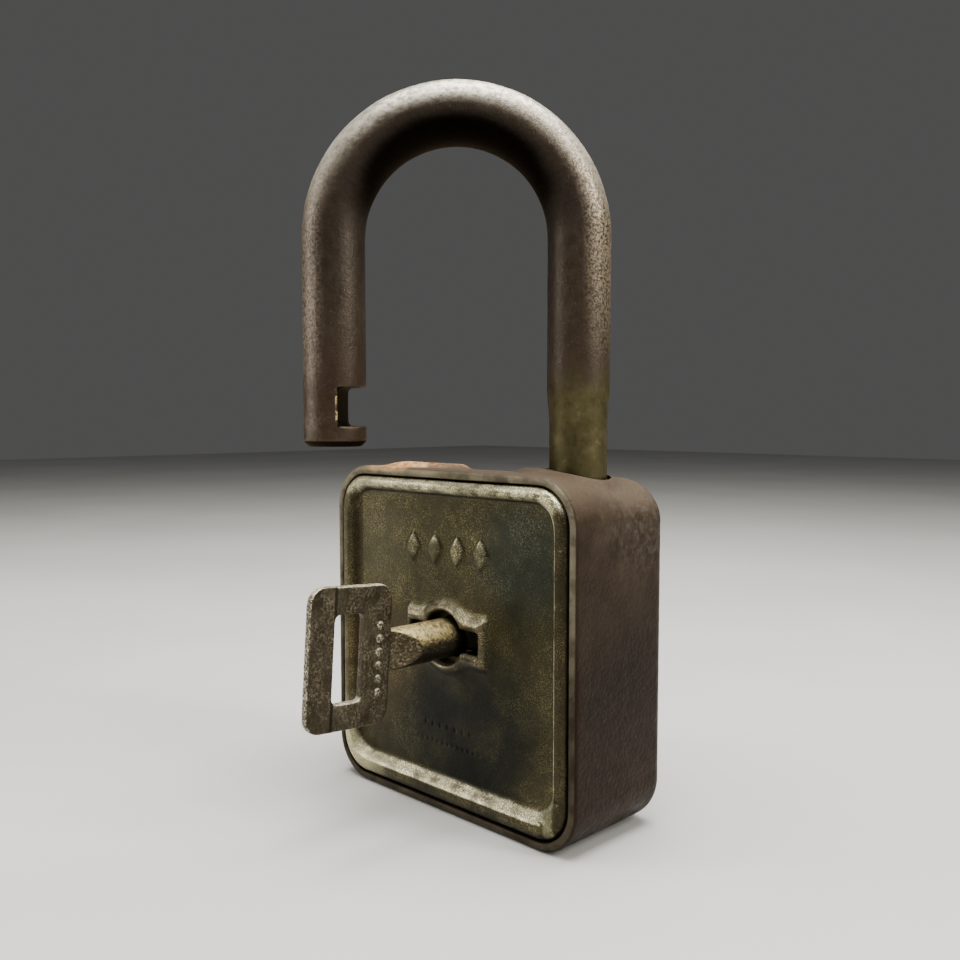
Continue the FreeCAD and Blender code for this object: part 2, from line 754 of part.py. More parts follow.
def make_nose_bush():
    """Rear bearing for the tip of the key."""
    ring = post("nose_bush_ring", "nose_bush_radius", "case_front", "nose_end", "0", "key_height")
    bore = post("nose_bush_bore", "nose_radius + curtain_clearance", "case_front - overshoot",
                "nose_end + overshoot", "0", "key_height")
    keep("key_nose_bush", cut("nose_bush", ring, [bore]))


# The key and the curtain that turns with it

def make_curtain():
    """Slotted disc behind the keyhole that turns with the key."""
    disc = fuse("curtain_disc", [
        post("curtain_flange_disc", "curtain_flange", "curtain_front", "curtain_shoulder", "0", "key_height"),
        post("curtain_hub_disc", "curtain_hub", "curtain_front", "curtain_back", "0", "key_height"),
    ])
    bore = post("curtain_bore_hole", "curtain_bore", "curtain_front - overshoot", "curtain_back + overshoot",
                "0", "key_height")
    slot = box("curtain_slot_block", ("-curtain_slot", "curtain_front - overshoot", "key_height - curtain_slot_half"),
               ("2 * curtain_slot", "curtain_back - curtain_front + 2 * overshoot", "2 * curtain_slot_half"))
    keep("curtain", cut("curtain_cut", disc, [bore, slot]))


def make_bow():
    """Flat key bow with a rectangular slot, its outer end tipped slightly upwards."""
    body = new_body("key_bow")
    outline = sketch_on(body, "YZ_Plane", "bow_outline", "-bow_thick / 2")
    draw_round_rectangle(outline, "-bow_length", "0", "bow_low", "bow_high", "bow_radius")
    pad(body, "bow_block", outline, "bow_thick")
    slot = sketch_on(body, "YZ_Plane", "bow_slot_outline", "bow_thick / 2")
    draw_round_rectangle(slot, "-slot_far", "-slot_near", "slot_low", "slot_high", "slot_radius")
    pocket(body, "bow_slot", slot, "bow_thick")
    half = number_of("bow_thick / 2")
    round_edges(body, "bow_edges", "bow_round", lambda edge: edge.BoundBox.XLength < 0.01
                and abs(abs(edge.BoundBox.XMin) - half) < 0.01)
    place(body, ("0", "bow_root", "key_height"), Rotation(Vector(-1, 0, 0), number_of("bow_tilt")))
    body.setExpression("Placement.Rotation.Angle", formula("bow_tilt"))
    return body


def make_flats():
    """Slanted blocks that flatten the round shank into the bow, one on each side."""
    angle = "atan((shank_radius - bow_thick / 2) / (flat_end - bow_root))"
    degrees = number_of(angle)
    flat = box("shank_flat_right", (f"bow_thick / 2 - 3 * overshoot * sin({angle})",
                                    f"bow_root - 3 * overshoot * cos({angle})", "key_height - 2 * shank_radius"),
               ("2 * shank_radius", "4 * shank_radius", "4 * shank_radius"))
    flat.Placement.Rotation = Rotation(Vector(0, 0, 1), -degrees)
    mirrored = doc.addObject("Part::Mirroring", "shank_flat_left")
    mirrored.Source = flat
    mirrored.Normal = Vector(1, 0, 0)
    return [flat, mirrored]


def bit(name, reach, front, back):
    """One step of the key's bits, reaching out on both sides."""
    return box(name, (f"-({reach})", front, "key_height - bit_half_height"),
               (f"2 * ({reach})", f"({back}) - ({front})", "2 * bit_half_height"))


def make_key():
    """Cast key: bow, shank, stepped bits on both sides, and a thinner nose."""
    shank = cut("key_shank", post("shank_round", "shank_radius", "bow_root", "bit_back", "0", "key_height"),
                make_flats())
    pieces = [make_bow(), shank, post("key_nose", "nose_radius", "0", "key_end", "0", "key_height")]
    pieces.append(bit("drive_bit", "bit_reach", "bit_front", "stack_front"))
    for number in range(1, len(BIT_REACH) + 1):
        front = f"stack_front + {number - 1} * lever_pitch"
        pieces.append(bit(f"lever_bit_{number}", f"bit_reach_{number}", front, f"{front} + lever_pitch"))
    pieces.append(bit("bolt_bit", "bit_reach", f"stack_front + {len(BIT_REACH)} * lever_pitch", "bit_back"))
    keep("key", fuse("key_solid", pieces))


# The levers and the bolt

def make_lever(number):
    """Lever with a round boss, a belly over its own bit, and a gate window for the stump."""
    name = f"lever_{number}"
    front = f"stack_front + {number - 1} * lever_pitch + lever_gap"
    reach = f"sqrt(bit_reach_{number} ^ 2 + bit_half_height ^ 2)"
    lift = f"0.867 * pivot_x * sin(lever_lift_{number} * 1deg)"
    belly = f"key_height + {reach} - {lift} + belly_clearance"
    body, outline = slab(f"{name}_body", front, "lever_thick")
    draw_polygon(outline, [
        ("lever_end", "lever_low"),
        ("-belly_half_width - 1.2", "lever_low"),
        ("-belly_half_width", belly),
        ("belly_half_width", belly),
        ("belly_half_width + 2", "lever_low + 0.4"),
        ("pivot_x", "pivot_height - lever_boss + 0.1"),
        ("pivot_x", "lever_top"),
        ("lever_end", "lever_top"),
    ])
    pad(body, f"{name}_blade", outline, "lever_thick")
    boss = front_sketch(body, f"{name}_boss_outline", f"({front}) + lever_thick")
    draw_circle(boss, "pivot_x", "pivot_height", "lever_boss")
    pad(body, f"{name}_boss", boss, "lever_thick")
    gate = front_sketch(body, f"{name}_gate_outline", front)
    draw_round_rectangle(gate, "gate_left", "gate_right", "gate_low", "gate_high", "gate_radius")
    draw_circle(gate, "pivot_x", "pivot_height", "post_radius + post_clearance")
    pocket(body, f"{name}_gate", gate, "lever_thick + lever_gap")
    keep(name, body)


def make_lever_spring(number):
    """Leaf finger on top of one lever."""
    name = f"lever_spring_{number}"
    front = f"stack_front + {number - 1} * lever_pitch + 2 * lever_gap"
    body, outline = slab(f"{name}_body", front, "lever_thick - 2 * lever_gap")
    draw_polygon(outline, [
        ("finger_root_x - 2", "lever_top"),
        ("finger_root_x", "lever_top"),
        ("finger_root_x", "lever_top + 0.6"),
        ("finger_root_x - 1.6", "lever_top + 0.8"),
        ("finger_tip_x", "finger_tip_height"),
        ("finger_tip_x - 0.15", "finger_tip_height - finger_thick"),
    ])
    pad(body, f"{name}_leaf", outline, "lever_thick - 2 * lever_gap")
    keep(name, body)


def make_bolt():
    """Sliding bolt: bevelled nose, slotted plate with a talon for the key, and a spigot for its spring."""
    middle = "((bolt_low + bolt_high) / 2)"
    body, outline = slab("bolt_plate", "bolt_front", "bolt_thick")
    draw_polygon(outline, [
        ("nose_back - plate_overlap", "bolt_low"),
        ("arm_left", "bolt_low"),
        ("arm_left", "arm_low"),
        ("talon_left", "arm_low"),
        ("talon_left", "talon_low"),
        ("talon_right", "talon_low"),
        ("talon_right", "bolt_high"),
        ("nose_back - plate_overlap", "bolt_high"),
    ])
    pad(body, "bolt_plate_block", outline, "bolt_thick")
    slot = front_sketch(body, "bolt_slot_outline", "bolt_front")
    slack = "(stud_radius + post_clearance)"
    draw_round_rectangle(slot, f"stud_x - bolt_travel - {slack} - slot_ease", f"stud_x + {slack} + slot_ease",
                         f"{middle} - {slack}", f"{middle} + {slack}", f"{slack} - pin_clearance / 2")
    draw_circle(slot, "stump_x", "stump_height", "stump_radius + pin_clearance")
    pocket(body, "bolt_slot", slot, "bolt_thick + slot_ease")
    nose = box("bolt_nose_block", ("nose_tip", "-nose_half_depth", "bolt_low"),
               ("nose_back - nose_tip", "2 * nose_half_depth", "bolt_high - bolt_low"))
    doc.recompute()
    bevelled = doc.addObject("Part::Chamfer", "bolt_nose")
    bevelled.Base = nose
    size = number_of("nose_bevel")
    tip, high = number_of("nose_tip"), number_of("bolt_high")
    bevelled.Edges = [(i, size, size) for i, edge in enumerate(nose.Shape.Edges, 1)
                      if abs(edge.BoundBox.XMax - tip) < 0.01 and abs(edge.BoundBox.ZMin - high) < 0.01]
    spigot = cylinder("bolt_spigot", "spigot_radius", "spigot_end - talon_right + plate_overlap",
                      ("talon_right - plate_overlap", "spigot_depth", middle), ALONG_X)
    keep("bolt", fuse("bolt_solid", [body, bevelled, spigot]))
    keep("bolt_stump", post("bolt_stump_rod", "stump_radius", "stack_front - lever_gap", "bolt_front + bolt_thick",
                            "stump_x", "stump_height"))
    coil("bolt_spring", "bolt_coil_radius", "bolt_coil_wire", "bolt_coil_end - talon_right - post_clearance",
         "bolt_coil_turns", ("talon_right + post_clearance", "spigot_depth", middle), ALONG_X)


def make_all():
    make_shell()
    make_front_plate()
    make_shackle()
    make_collar()
    make_spring_washer()
    coil("shackle_spring", "coil_radius", "coil_wire", "washer_top - washer_thick - tube_floor",
         "coil_turns", ("heel_offset", "0", "tube_floor"))
    make_heel_guides()
    make_toe_guides()
    make_case_plate()
    make_cap_plate()
    make_posts()
    make_bolt_guides()
    make_nose_bush()
    make_curtain()
    make_key()
    make_bolt()
    for number in range(1, len(BIT_REACH) + 1):
        make_lever(number)
        make_lever_spring(number)


def check_and_export():
    """Stop on any failed object or bad solid, then write one STEP file to a sub-part."""
    doc.recompute()
    for item in doc.Objects:
        if "Invalid" in item.State or "Error" in item.State:
            raise RuntimeError(f"{item.Name} failed: {item.State}")
    os.makedirs("parts", exist_ok=True)
    for name, item in parts.items():
        if item.Shape.isNull() or not item.Shape.isValid() or item.Shape.Volume <= 0:
            raise RuntimeError(f"{name} has no valid solid")
        item.Shape.exportStep(f"parts/{name}.step")
        print(f"{name}: {len(item.Shape.Solids)} solid(s), {item.Shape.Volume:.1f} mm3")


make_all()
check_and_export()
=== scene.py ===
import bpy
import bmesh
import json
import math
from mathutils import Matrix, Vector, noise


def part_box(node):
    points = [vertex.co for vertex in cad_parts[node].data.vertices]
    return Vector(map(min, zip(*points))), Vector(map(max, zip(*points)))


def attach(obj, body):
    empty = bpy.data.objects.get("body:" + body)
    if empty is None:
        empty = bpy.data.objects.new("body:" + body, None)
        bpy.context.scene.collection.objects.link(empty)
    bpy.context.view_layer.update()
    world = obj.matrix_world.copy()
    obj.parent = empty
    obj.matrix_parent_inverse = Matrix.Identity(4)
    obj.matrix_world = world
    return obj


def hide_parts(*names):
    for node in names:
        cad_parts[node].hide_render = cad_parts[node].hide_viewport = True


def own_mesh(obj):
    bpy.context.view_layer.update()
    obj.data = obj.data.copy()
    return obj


# An old square padlock standing open on its base, with its key in the keyhole.

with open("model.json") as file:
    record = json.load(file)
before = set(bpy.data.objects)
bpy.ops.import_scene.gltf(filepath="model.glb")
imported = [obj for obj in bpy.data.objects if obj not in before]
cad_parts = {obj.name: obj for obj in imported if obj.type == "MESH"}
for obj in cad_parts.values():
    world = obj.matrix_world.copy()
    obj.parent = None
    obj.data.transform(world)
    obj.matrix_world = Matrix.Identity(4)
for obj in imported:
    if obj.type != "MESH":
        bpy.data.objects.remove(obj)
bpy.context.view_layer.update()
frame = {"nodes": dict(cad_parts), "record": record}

MM = 0.001


# Camera, lights and floor

def make_camera():
    """The photograph's viewpoint: from the front right, a little above the lock."""
    data = bpy.data.cameras.new("camera")
    data.lens = 36.95
    data.sensor_width = 36.0
    data.clip_start = 0.01
    camera = bpy.data.objects.new("camera", data)
    camera.location = Vector((125.011, -127.376, 70.049)) * MM
    forward = Vector((-0.70654, 0.70463, -0.06557))
    camera.rotation_euler = forward.to_track_quat("-Z", "Y").to_euler()
    bpy.context.scene.collection.objects.link(camera)
    bpy.context.scene.camera = camera


def make_light(name, place, target, size, power, colour):
    """A square soft box that faces a point."""
    data = bpy.data.lights.new(name, "AREA")
    data.shape = "RECTANGLE"
    data.size = size[0]
    data.size_y = size[1]
    data.energy = power
    data.color = colour
    light = bpy.data.objects.new(name, data)
    light.location = place
    light.rotation_euler = (Vector(target) - Vector(place)).to_track_quat("-Z", "Y").to_euler()
    bpy.context.scene.collection.objects.link(light)


def make_lights():
    target = (0.0, 0.0, 0.05)
    make_light("top_box", (0.03, 0.00, 0.48), target, (0.46, 0.34), 7.0, (1.0, 0.98, 0.93))
    make_light("right_box", (0.40, 0.12, 0.34), target, (0.12, 0.26), 2.3, (1.0, 0.96, 0.88))
    make_light("left_box", (-0.38, -0.40, 0.26), target, (0.10, 0.34), 2.0, (1.0, 0.96, 0.89))
    world = bpy.data.worlds.new("studio")
    world.use_nodes = True
    background = world.node_tree.nodes["Background"]
    background.inputs["Color"].default_value = (0.82, 0.82, 0.81, 1)
    background.inputs["Strength"].default_value = 0.10
    bpy.context.scene.world = world


def make_floor(material):
    mesh = bpy.data.meshes.new("floor")
    edge = 1.5
    corners = [(-edge, -edge, 0), (edge, -edge, 0), (edge, edge, 0), (-edge, edge, 0)]
    mesh.from_pydata(corners, [], [(0, 1, 2, 3)])
    floor = bpy.data.objects.new("floor", mesh)
    bpy.context.scene.collection.objects.link(floor)
    floor.data.materials.append(material)


# Material helpers

class Shader:
    """A node tree being built, with short calls for the nodes used here."""

    def __init__(self, name):
        self.material = bpy.data.materials.new(name)
        self.material.use_nodes = True
        self.tree = self.material.node_tree
        self.tree.nodes.clear()
        self.output = self.tree.nodes.new("ShaderNodeOutputMaterial")
        self.surface = self.tree.nodes.new("ShaderNodeBsdfPrincipled")
        self.link(self.surface.outputs["BSDF"], self.output.inputs["Surface"])
        coordinates = self.tree.nodes.new("ShaderNodeTexCoord")
        self.place = coordinates.outputs["Object"]
        self.facing = coordinates.outputs["Normal"]

    def link(self, source, socket):
        self.tree.links.new(source, socket)

    def put(self, node, socket, given):
        """Set a socket to a number or colour, or link it."""
        if isinstance(given, bpy.types.NodeSocket):
            self.link(given, node.inputs[socket])
        else:
            node.inputs[socket].default_value = given

    def principled(self, **given):
        for name, entry in given.items():
            self.put(self.surface, name.replace("_", " "), entry)

    def stretched(self, scale):
        """Object coordinates scaled per axis."""
        node = self.tree.nodes.new("ShaderNodeMapping")
        self.link(self.place, node.inputs["Vector"])
        node.inputs["Scale"].default_value = scale
        return node.outputs["Vector"]

    def noise(self, scale, detail=4.0, roughness=0.55, vector=None, distortion=0.0):
        """Noise about 'scale' features to the metre."""
        node = self.tree.nodes.new("ShaderNodeTexNoise")
        self.link(vector or self.place, node.inputs["Vector"])
        node.inputs["Scale"].default_value = scale
        node.inputs["Detail"].default_value = detail
        node.inputs["Roughness"].default_value = roughness
        node.inputs["Distortion"].default_value = distortion
        return node.outputs["Fac"]

    def ramp(self, source, stops):
        """A colour ramp; stops are (position, value or colour)."""
        node = self.tree.nodes.new("ShaderNodeValToRGB")
        self.link(source, node.inputs["Fac"])
        node.color_ramp.interpolation = "EASE"
        elements = node.color_ramp.elements
        while len(elements) < len(stops):
            elements.new(0.5)
        for element, (position, entry) in zip(elements, stops):
            element.position = position
            element.color = (*entry, 1) if isinstance(entry, tuple) else (entry, entry, entry, 1)
        return node.outputs["Color"]

    def mix(self, factor, first, second, mode="MIX"):
        node = self.tree.nodes.new("ShaderNodeMix")
        node.data_type = "RGBA"
        node.blend_type = mode
        self.put(node, 0, factor)
        for socket, entry in ((6, first), (7, second)):
            self.put(node, socket, (*entry, 1) if isinstance(entry, tuple) else entry)
        return node.outputs[2]

    def math(self, operation, first, second=0.0, clamp=False):
        node = self.tree.nodes.new("ShaderNodeMath")
        node.operation = operation
        node.use_clamp = clamp
        for socket, entry in enumerate((first, second)):
            self.put(node, socket, entry)
        return node.outputs[0]

    def axis(self, letter):
        node = self.tree.nodes.new("ShaderNodeSeparateXYZ")
        self.link(self.place, node.inputs[0])
        return node.outputs[letter]

    def upward(self, start, end):
        """0 where the surface faces no higher than 'start', 1 where it faces up at least as much as 'end'."""
        node = self.tree.nodes.new("ShaderNodeSeparateXYZ")
        self.link(self.facing, node.inputs[0])
        return self.slope(node.outputs["Z"], start, end)

    def toward(self, direction, start, end):
        """0 where the surface hardly faces along a direction, 1 where it faces along it."""
        node = self.tree.nodes.new("ShaderNodeVectorMath")
        node.operation = "DOT_PRODUCT"
        self.link(self.facing, node.inputs[0])
        node.inputs[1].default_value = direction
        return self.slope(node.outputs["Value"], start, end)

    def times(self, *factors):
        product = factors[0]
        for factor in factors[1:]:
            product = self.math("MULTIPLY", product, factor)
        return product

    def window(self, source, low, high, soft):
        """1 between low and high, fading to 0 over 'soft' outside them."""
        rise = self.slope(source, low - soft, low)
        fall = self.slope(source, high + soft, high)
        return self.math("MULTIPLY", rise, fall)

    def slope(self, source, start, end):
        """0 at start, 1 at end, smooth between."""
        node = self.tree.nodes.new("ShaderNodeMapRange")
        node.interpolation_type = "SMOOTHSTEP"
        self.put(node, "Value", source)
        if start > end:
            start, end = end, start
            node.inputs["To Min"].default_value = 1.0
            node.inputs["To Max"].default_value = 0.0
        node.inputs["From Min"].default_value = start
        node.inputs["From Max"].default_value = end
        return node.outputs["Result"]

    def near(self, centre, radius, soft):
        """1 within a radius of a point, in metres, fading to 0 over 'soft'."""
        node = self.tree.nodes.new("ShaderNodeVectorMath")
        node.operation = "DISTANCE"
        self.link(self.place, node.inputs[0])
        node.inputs[1].default_value = centre
        return self.slope(node.outputs["Value"], radius + soft, radius)

    def bump(self, height, strength, distance, below=None):
        node = self.tree.nodes.new("ShaderNodeBump")
        self.link(height, node.inputs["Height"])
        node.inputs["Strength"].default_value = strength
        node.inputs["Distance"].default_value = distance
        if below is not None:
            self.link(below, node.inputs["Normal"])
        return node.outputs["Normal"]


# Mesh helpers. Outlines are worked in millimetres and scaled once, when the mesh is made.

def make_piece(name, vertices, faces, body, material, smooth_angle=35.0):
    mesh = bpy.data.meshes.new(name)
    mesh.from_pydata([Vector(v) * MM for v in vertices], [], faces)
    mesh.validate()
    piece = bpy.data.objects.new(name, mesh)
    bpy.context.scene.collection.objects.link(piece)
    tidy_normals(piece, smooth_angle)
    mesh.materials.append(material)
    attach(piece, body)
    return piece


def tidy_normals(piece, smooth_angle):
    """Face every normal outwards, shade smooth, and keep edges sharper than the angle crisp."""
    work = bmesh.new()
    work.from_mesh(piece.data)
    bmesh.ops.remove_doubles(work, verts=work.verts, dist=1e-6)
    bmesh.ops.recalc_face_normals(work, faces=work.faces)
    limit = math.radians(smooth_angle)
    for face in work.faces:
        face.smooth = True
    for edge in work.edges:
        edge.smooth = not (edge.is_manifold and edge.calc_face_angle() > limit)
    work.to_mesh(piece.data)
    work.free()


def smoothstep(x):
    x = min(1.0, max(0.0, x))
    return x * x * (3 - 2 * x)


def rounded_distance(x, z, centre, half, radius):
    """Signed distance to a rounded rectangle's outline: negative inside."""
    qx = abs(x - centre[0]) - (half[0] - radius)
    qz = abs(z - centre[1]) - (half[1] - radius)
    return math.hypot(max(qx, 0.0), max(qz, 0.0)) + min(max(qx, qz), 0.0) - radius


def rounded_outline(centre, half, radius, corner_steps, side_steps):
    """Points counter-clockwise round a rounded rectangle, each with its outward direction."""
    points = []
    corners = ((1, -1, -90), (1, 1, 0), (-1, 1, 90), (-1, -1, 180))
    for index, (sx, sz, start) in enumerate(corners):
        cx = centre[0] + sx * (half[0] - radius)
        cz = centre[1] + sz * (half[1] - radius)
        for step in range(corner_steps + 1):
            angle = math.radians(start + 90 * step / corner_steps)
            out = (math.cos(angle), math.sin(angle))
            points.append((cx + radius * out[0], cz + radius * out[1], out))
        nx, nz, _ = corners[(index + 1) % 4]
        end_angle = math.radians(start + 90)
        out = (math.cos(end_angle), math.sin(end_angle))
        tx = centre[0] + nx * (half[0] - radius) + radius * out[0]
        tz = centre[1] + nz * (half[1] - radius) + radius * out[1]
        x, z, _ = points[-1]
        for step in range(1, side_steps):
            share = step / side_steps
            points.append((x + (tx - x) * share, z + (tz - z) * share, out))
    return points


def loft(rings, closed=False):
    """Faces between equal closed rings. The ends are joined to each other or capped."""
    count = len(rings[0])
    vertices = [v for ring in rings for v in ring]
    faces = []
    for level in range(len(rings) if closed else len(rings) - 1):
        here, there = level * count, (level + 1) % len(rings) * count
        for index in range(count):
            after = (index + 1) % count
            faces.append((here + index, here + after, there + after, there + index))
    if not closed:
        faces.append(tuple(range(count)))
        faces.append(tuple(reversed(range((len(rings) - 1) * count, len(rings) * count))))
    return vertices, faces


def cut_away(piece, tools):
    """Subtract temporary solids from a piece and remove them."""
    for tool in tools:
        modifier = piece.modifiers.new("cut", "BOOLEAN")
        modifier.operation = "DIFFERENCE"
        modifier.solver = "EXACT"
        modifier.object = tool
    apply_modifiers(piece)
    for tool in tools:
        bpy.data.objects.remove(tool)


def apply_modifiers(piece):
    graph = bpy.context.evaluated_depsgraph_get()
    mesh = bpy.data.meshes.new_from_object(piece.evaluated_get(graph))
    piece.modifiers.clear()
    piece.data = mesh


def rod_tool(name, centre, radius, low, high, steps=96):
    """A temporary upright cylinder used as a cutter."""
    rings = [[(centre[0] + radius * math.cos(2 * math.pi * i / steps),
               centre[1] + radius * math.sin(2 * math.pi * i / steps), z) for i in range(steps)]
             for z in (low, high)]
    vertices, faces = loft(rings)
    mesh = bpy.data.meshes.new(name)
    mesh.from_pydata([Vector(v) * MM for v in vertices], [], faces)
    work = bmesh.new()
    work.from_mesh(mesh)
    bmesh.ops.recalc_face_normals(work, faces=work.faces)
    work.to_mesh(mesh)
    work.free()
    tool = bpy.data.objects.new(name, mesh)
    bpy.context.scene.collection.objects.link(tool)
    return tool


# The lock body's shell

SHELL_LOW, SHELL_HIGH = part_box("body_shell")
BODY_WIDTH = (SHELL_HIGH.x - SHELL_LOW.x) / MM
BODY_FRONT = SHELL_LOW.y / MM
BODY_BACK = SHELL_HIGH.y / MM
BOSS_TOP = SHELL_HIGH.z / MM
BODY_TOP = BOSS_TOP - 0.8
TOP_FALL = 1.25
RIM_ROUND = 0.9
CORNER = 8.2
REAR_RADIUS = 2.8
WALL = 1.6
CENTRE = (0.0, BODY_TOP / 2)
HALF = (BODY_WIDTH / 2, BODY_TOP / 2)
CORNER_STEPS = 36
SIDE_STEPS = 110
DEPTH_STEPS = 36
HEEL_X = 20.4
HEEL_HOLE = 5.5
TOE_X = -20.2
TOE_HOLE = 5.6
SHELL_SMOOTH = 40.0


def boss_share(x, y):
    """1 on the land round a shackle hole, 0 away from it."""
    away = math.hypot((abs(x) - 17.5) / 1.15, y - 0.5)
    return smoothstep((8.7 - away) / 2.6)


def boss_height(x, y):
    """Height of a land: level at its inner end, falling outwards and to the back."""
    outward = max(0.0, abs(x) - 16.5)
    return min(BOSS_TOP - 0.02, BOSS_TOP - 0.15 - 0.088 * outward - 0.075 * (y + 3.9))


def drawn_height(x, y, z):
    """The shell's height where its plain outline is at z: fallen at the back, raised at each land."""
    near_top = smoothstep((z - BODY_TOP + 9.0) / 8.6)
    back = smoothstep((y - BODY_FRONT - 1.2) / (BODY_BACK - BODY_FRONT - 4.0))
    fallen = z - TOP_FALL * back * near_top
    if z < BODY_TOP - CORNER:
        return fallen
    return fallen + (boss_height(x, y) - fallen) * boss_share(x, y)


def shell_ring(inset, y, raised=True):
    """One closed loop round the shell."""
    half = (HALF[0] - inset, HALF[1] - inset)
    outline = rounded_outline(CENTRE, half, max(0.3, CORNER - inset), CORNER_STEPS, SIDE_STEPS)
    if not raised:
        return [(x, y, z) for x, z, _ in outline]
    return [(x, y, drawn_height(x, y, z + inset) - inset) for x, z, _ in outline]


def quarter_steps(count):
    return [math.radians(90 * step / count) for step in range(count + 1)]


def rear_ring(inset, y, share):
    """A loop round the rounded back edge, taking up the top's shape as it comes forward."""
    flat = shell_ring(inset, y, raised=False)
    raised = shell_ring(inset, y)
    return [tuple(a + (b - a) * share for a, b in zip(low, high)) for low, high in zip(flat, raised)]


def make_shell(material):
    """Closed drawn shell: rounded back edge, thin rolled rim, and its inner wall."""
    rings = [shell_ring(inset, BODY_BACK, raised=False) for inset in (HALF[0] - 0.5, 24.0, 16.0, 8.0, 4.5)]
    for angle in quarter_steps(12):
        inset = REAR_RADIUS * (1 - math.sin(angle))
        rings.append(rear_ring(inset, BODY_BACK - REAR_RADIUS * (1 - math.cos(angle)), math.sin(angle)))
    start, stop = BODY_BACK - REAR_RADIUS, BODY_FRONT + RIM_ROUND
    for step in range(1, DEPTH_STEPS + 1):
        rings.append(shell_ring(0.0, start + (stop - start) * step / DEPTH_STEPS))
    for angle in quarter_steps(7)[1:]:
        rings.append(shell_ring(RIM_ROUND * (1 - math.cos(angle)), stop - RIM_ROUND * math.sin(angle)))
    inner_round = WALL - RIM_ROUND - 0.1
    for angle in quarter_steps(4):
        inset = WALL - inner_round * (1 - math.sin(angle))
        rings.append(shell_ring(inset, BODY_FRONT + inner_round * (1 - math.cos(angle))))
    for y in (BODY_FRONT + 2.5, BODY_FRONT + 6.0, 0.0, 6.0, BODY_BACK - WALL):
        rings.append(shell_ring(WALL, y))
    vertices, faces = loft(rings)
    shell = make_piece("shell_skin", vertices, faces, "lock_body", material, SHELL_SMOOTH)
    low, high = BODY_TOP - 3.0, BODY_TOP + 6.0
    holes = [rod_tool("heel_cut", (HEEL_X, 0.0), HEEL_HOLE, low, high),
             rod_tool("toe_cut", (TOE_X, 0.0), TOE_HOLE, low, high)]
    cut_away(shell, holes)
    tidy_normals(shell, SHELL_SMOOTH)
    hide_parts("body_shell")


# The front plate

PLATE_LOW, PLATE_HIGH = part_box("front_plate")
CREST = PLATE_LOW.y / MM
PLATE_BACK = PLATE_HIGH.y / MM
PANEL = -10.8
PANEL_CENTRE = (0.0, 31.2)
PANEL_HALF = (25.0, 25.0)
PANEL_RADIUS = 4.6
PLATE_CENTRE = (0.0, (PLATE_LOW.z + PLATE_HIGH.z) / 2 / MM)
PLATE_HALF = (PLATE_HIGH.x / MM, (PLATE_HIGH.z - PLATE_LOW.z) / 2 / MM)
PLATE_RADIUS = CORNER - 1.8
KEY_Z = 31.2
LIP_RISE = 1.5
LOZENGE_X = (-8.8, -3.1, 2.6, 8.3)
LOZENGE_Z = 46.4
DOT_ROWS = ((14.9, 7, 1.9, 0.55), (11.9, 13, 1.3, 0.38))  # height, count, gap, radius
PLATE_STEPS = 840
LIP_STEPS = 32
FACE_STEPS = 78
BEAD_STEPS = 30


def smooth_least(a, b, soft):
    share = max(soft - abs(a - b), 0.0) / soft
    return min(a, b) - share * share * soft / 4


def keyhole_distance(x, z):
    disc = math.hypot(x, z - KEY_Z) - 4.7
    return min(disc, rounded_distance(x, z, (0.0, KEY_Z), (8.55, 2.05), 0.4))


def lip_distance(x, z):
    disc = math.hypot(x, z - KEY_Z) - 6.9
    return smooth_least(disc, rounded_distance(x, z, (0.0, KEY_Z), (10.6, 5.0), 1.3), 2.0)


def panel_distance(x, z):
    return rounded_distance(x, z, PANEL_CENTRE, PANEL_HALF, PANEL_RADIUS)


def plate_distance(x, z):
    return rounded_distance(x, z, PLATE_CENTRE, PLATE_HALF, PLATE_RADIUS)


def reach(distance, level, angle, far):
    """How far out from the keyhole's axis a distance field reaches a level, along one direction."""
    low, high = 1.0, far
    for _ in range(26):
        middle = (low + high) / 2
        inside = distance(middle * math.cos(angle), KEY_Z + middle * math.sin(angle)) < level
        low, high = (middle, high) if inside else (low, middle)
    return low


def lozenge_rise(x, z):
    """Low raised lozenges in a row above the keyhole."""
    rise = 0.0
    for centre in LOZENGE_X:
        inside = 1.0 - (abs(x - centre) / 2.3) ** 1.25 - (abs(z - LOZENGE_Z) / 3.4) ** 1.25
        rise = max(rise, 0.85 * smoothstep(inside / 0.75))
    return rise


def dimple_depth(x, z):
    """Two faint stamped rows of dots below the keyhole."""
    depth = 0.0
    for row, count, gap, radius in DOT_ROWS:
        if abs(z - row) < radius:
            for index in range(count):
                away = math.hypot(x - (index - (count - 1) / 2) * gap, z - row)
                depth = max(depth, 0.16 * smoothstep((radius - away) / radius * 1.6))
    return depth


def panel_depth(x, z):
    """Depth of the plate's face inside the bead."""
    lip = smoothstep((0.45 - lip_distance(x, z)) / 2.5)
    throat = min(1.0, max(0.0, keyhole_distance(x, z)) / 0.8)
    edge = math.sqrt(max(0.0, 1.0 - (1.0 - throat) ** 2))
    wave = noise.noise(Vector((x * 0.07, z * 0.07, 3.0))) * 0.07
    rise = LIP_RISE * lip * (0.3 + 0.7 * edge) + lozenge_rise(x, z) - dimple_depth(x, z)
    return PANEL - rise - wave * smoothstep(-panel_distance(x, z) / 4.0)


def nick_depth(x, z):
    """Small knocks along the bead, most of them on its right-hand side."""
    ragged = noise.noise(Vector((x * 0.9, z * 0.9, 9.0)))
    return 0.22 * smoothstep((ragged - 0.32) / 0.3) * smoothstep((x - 18.0) / 6.0)


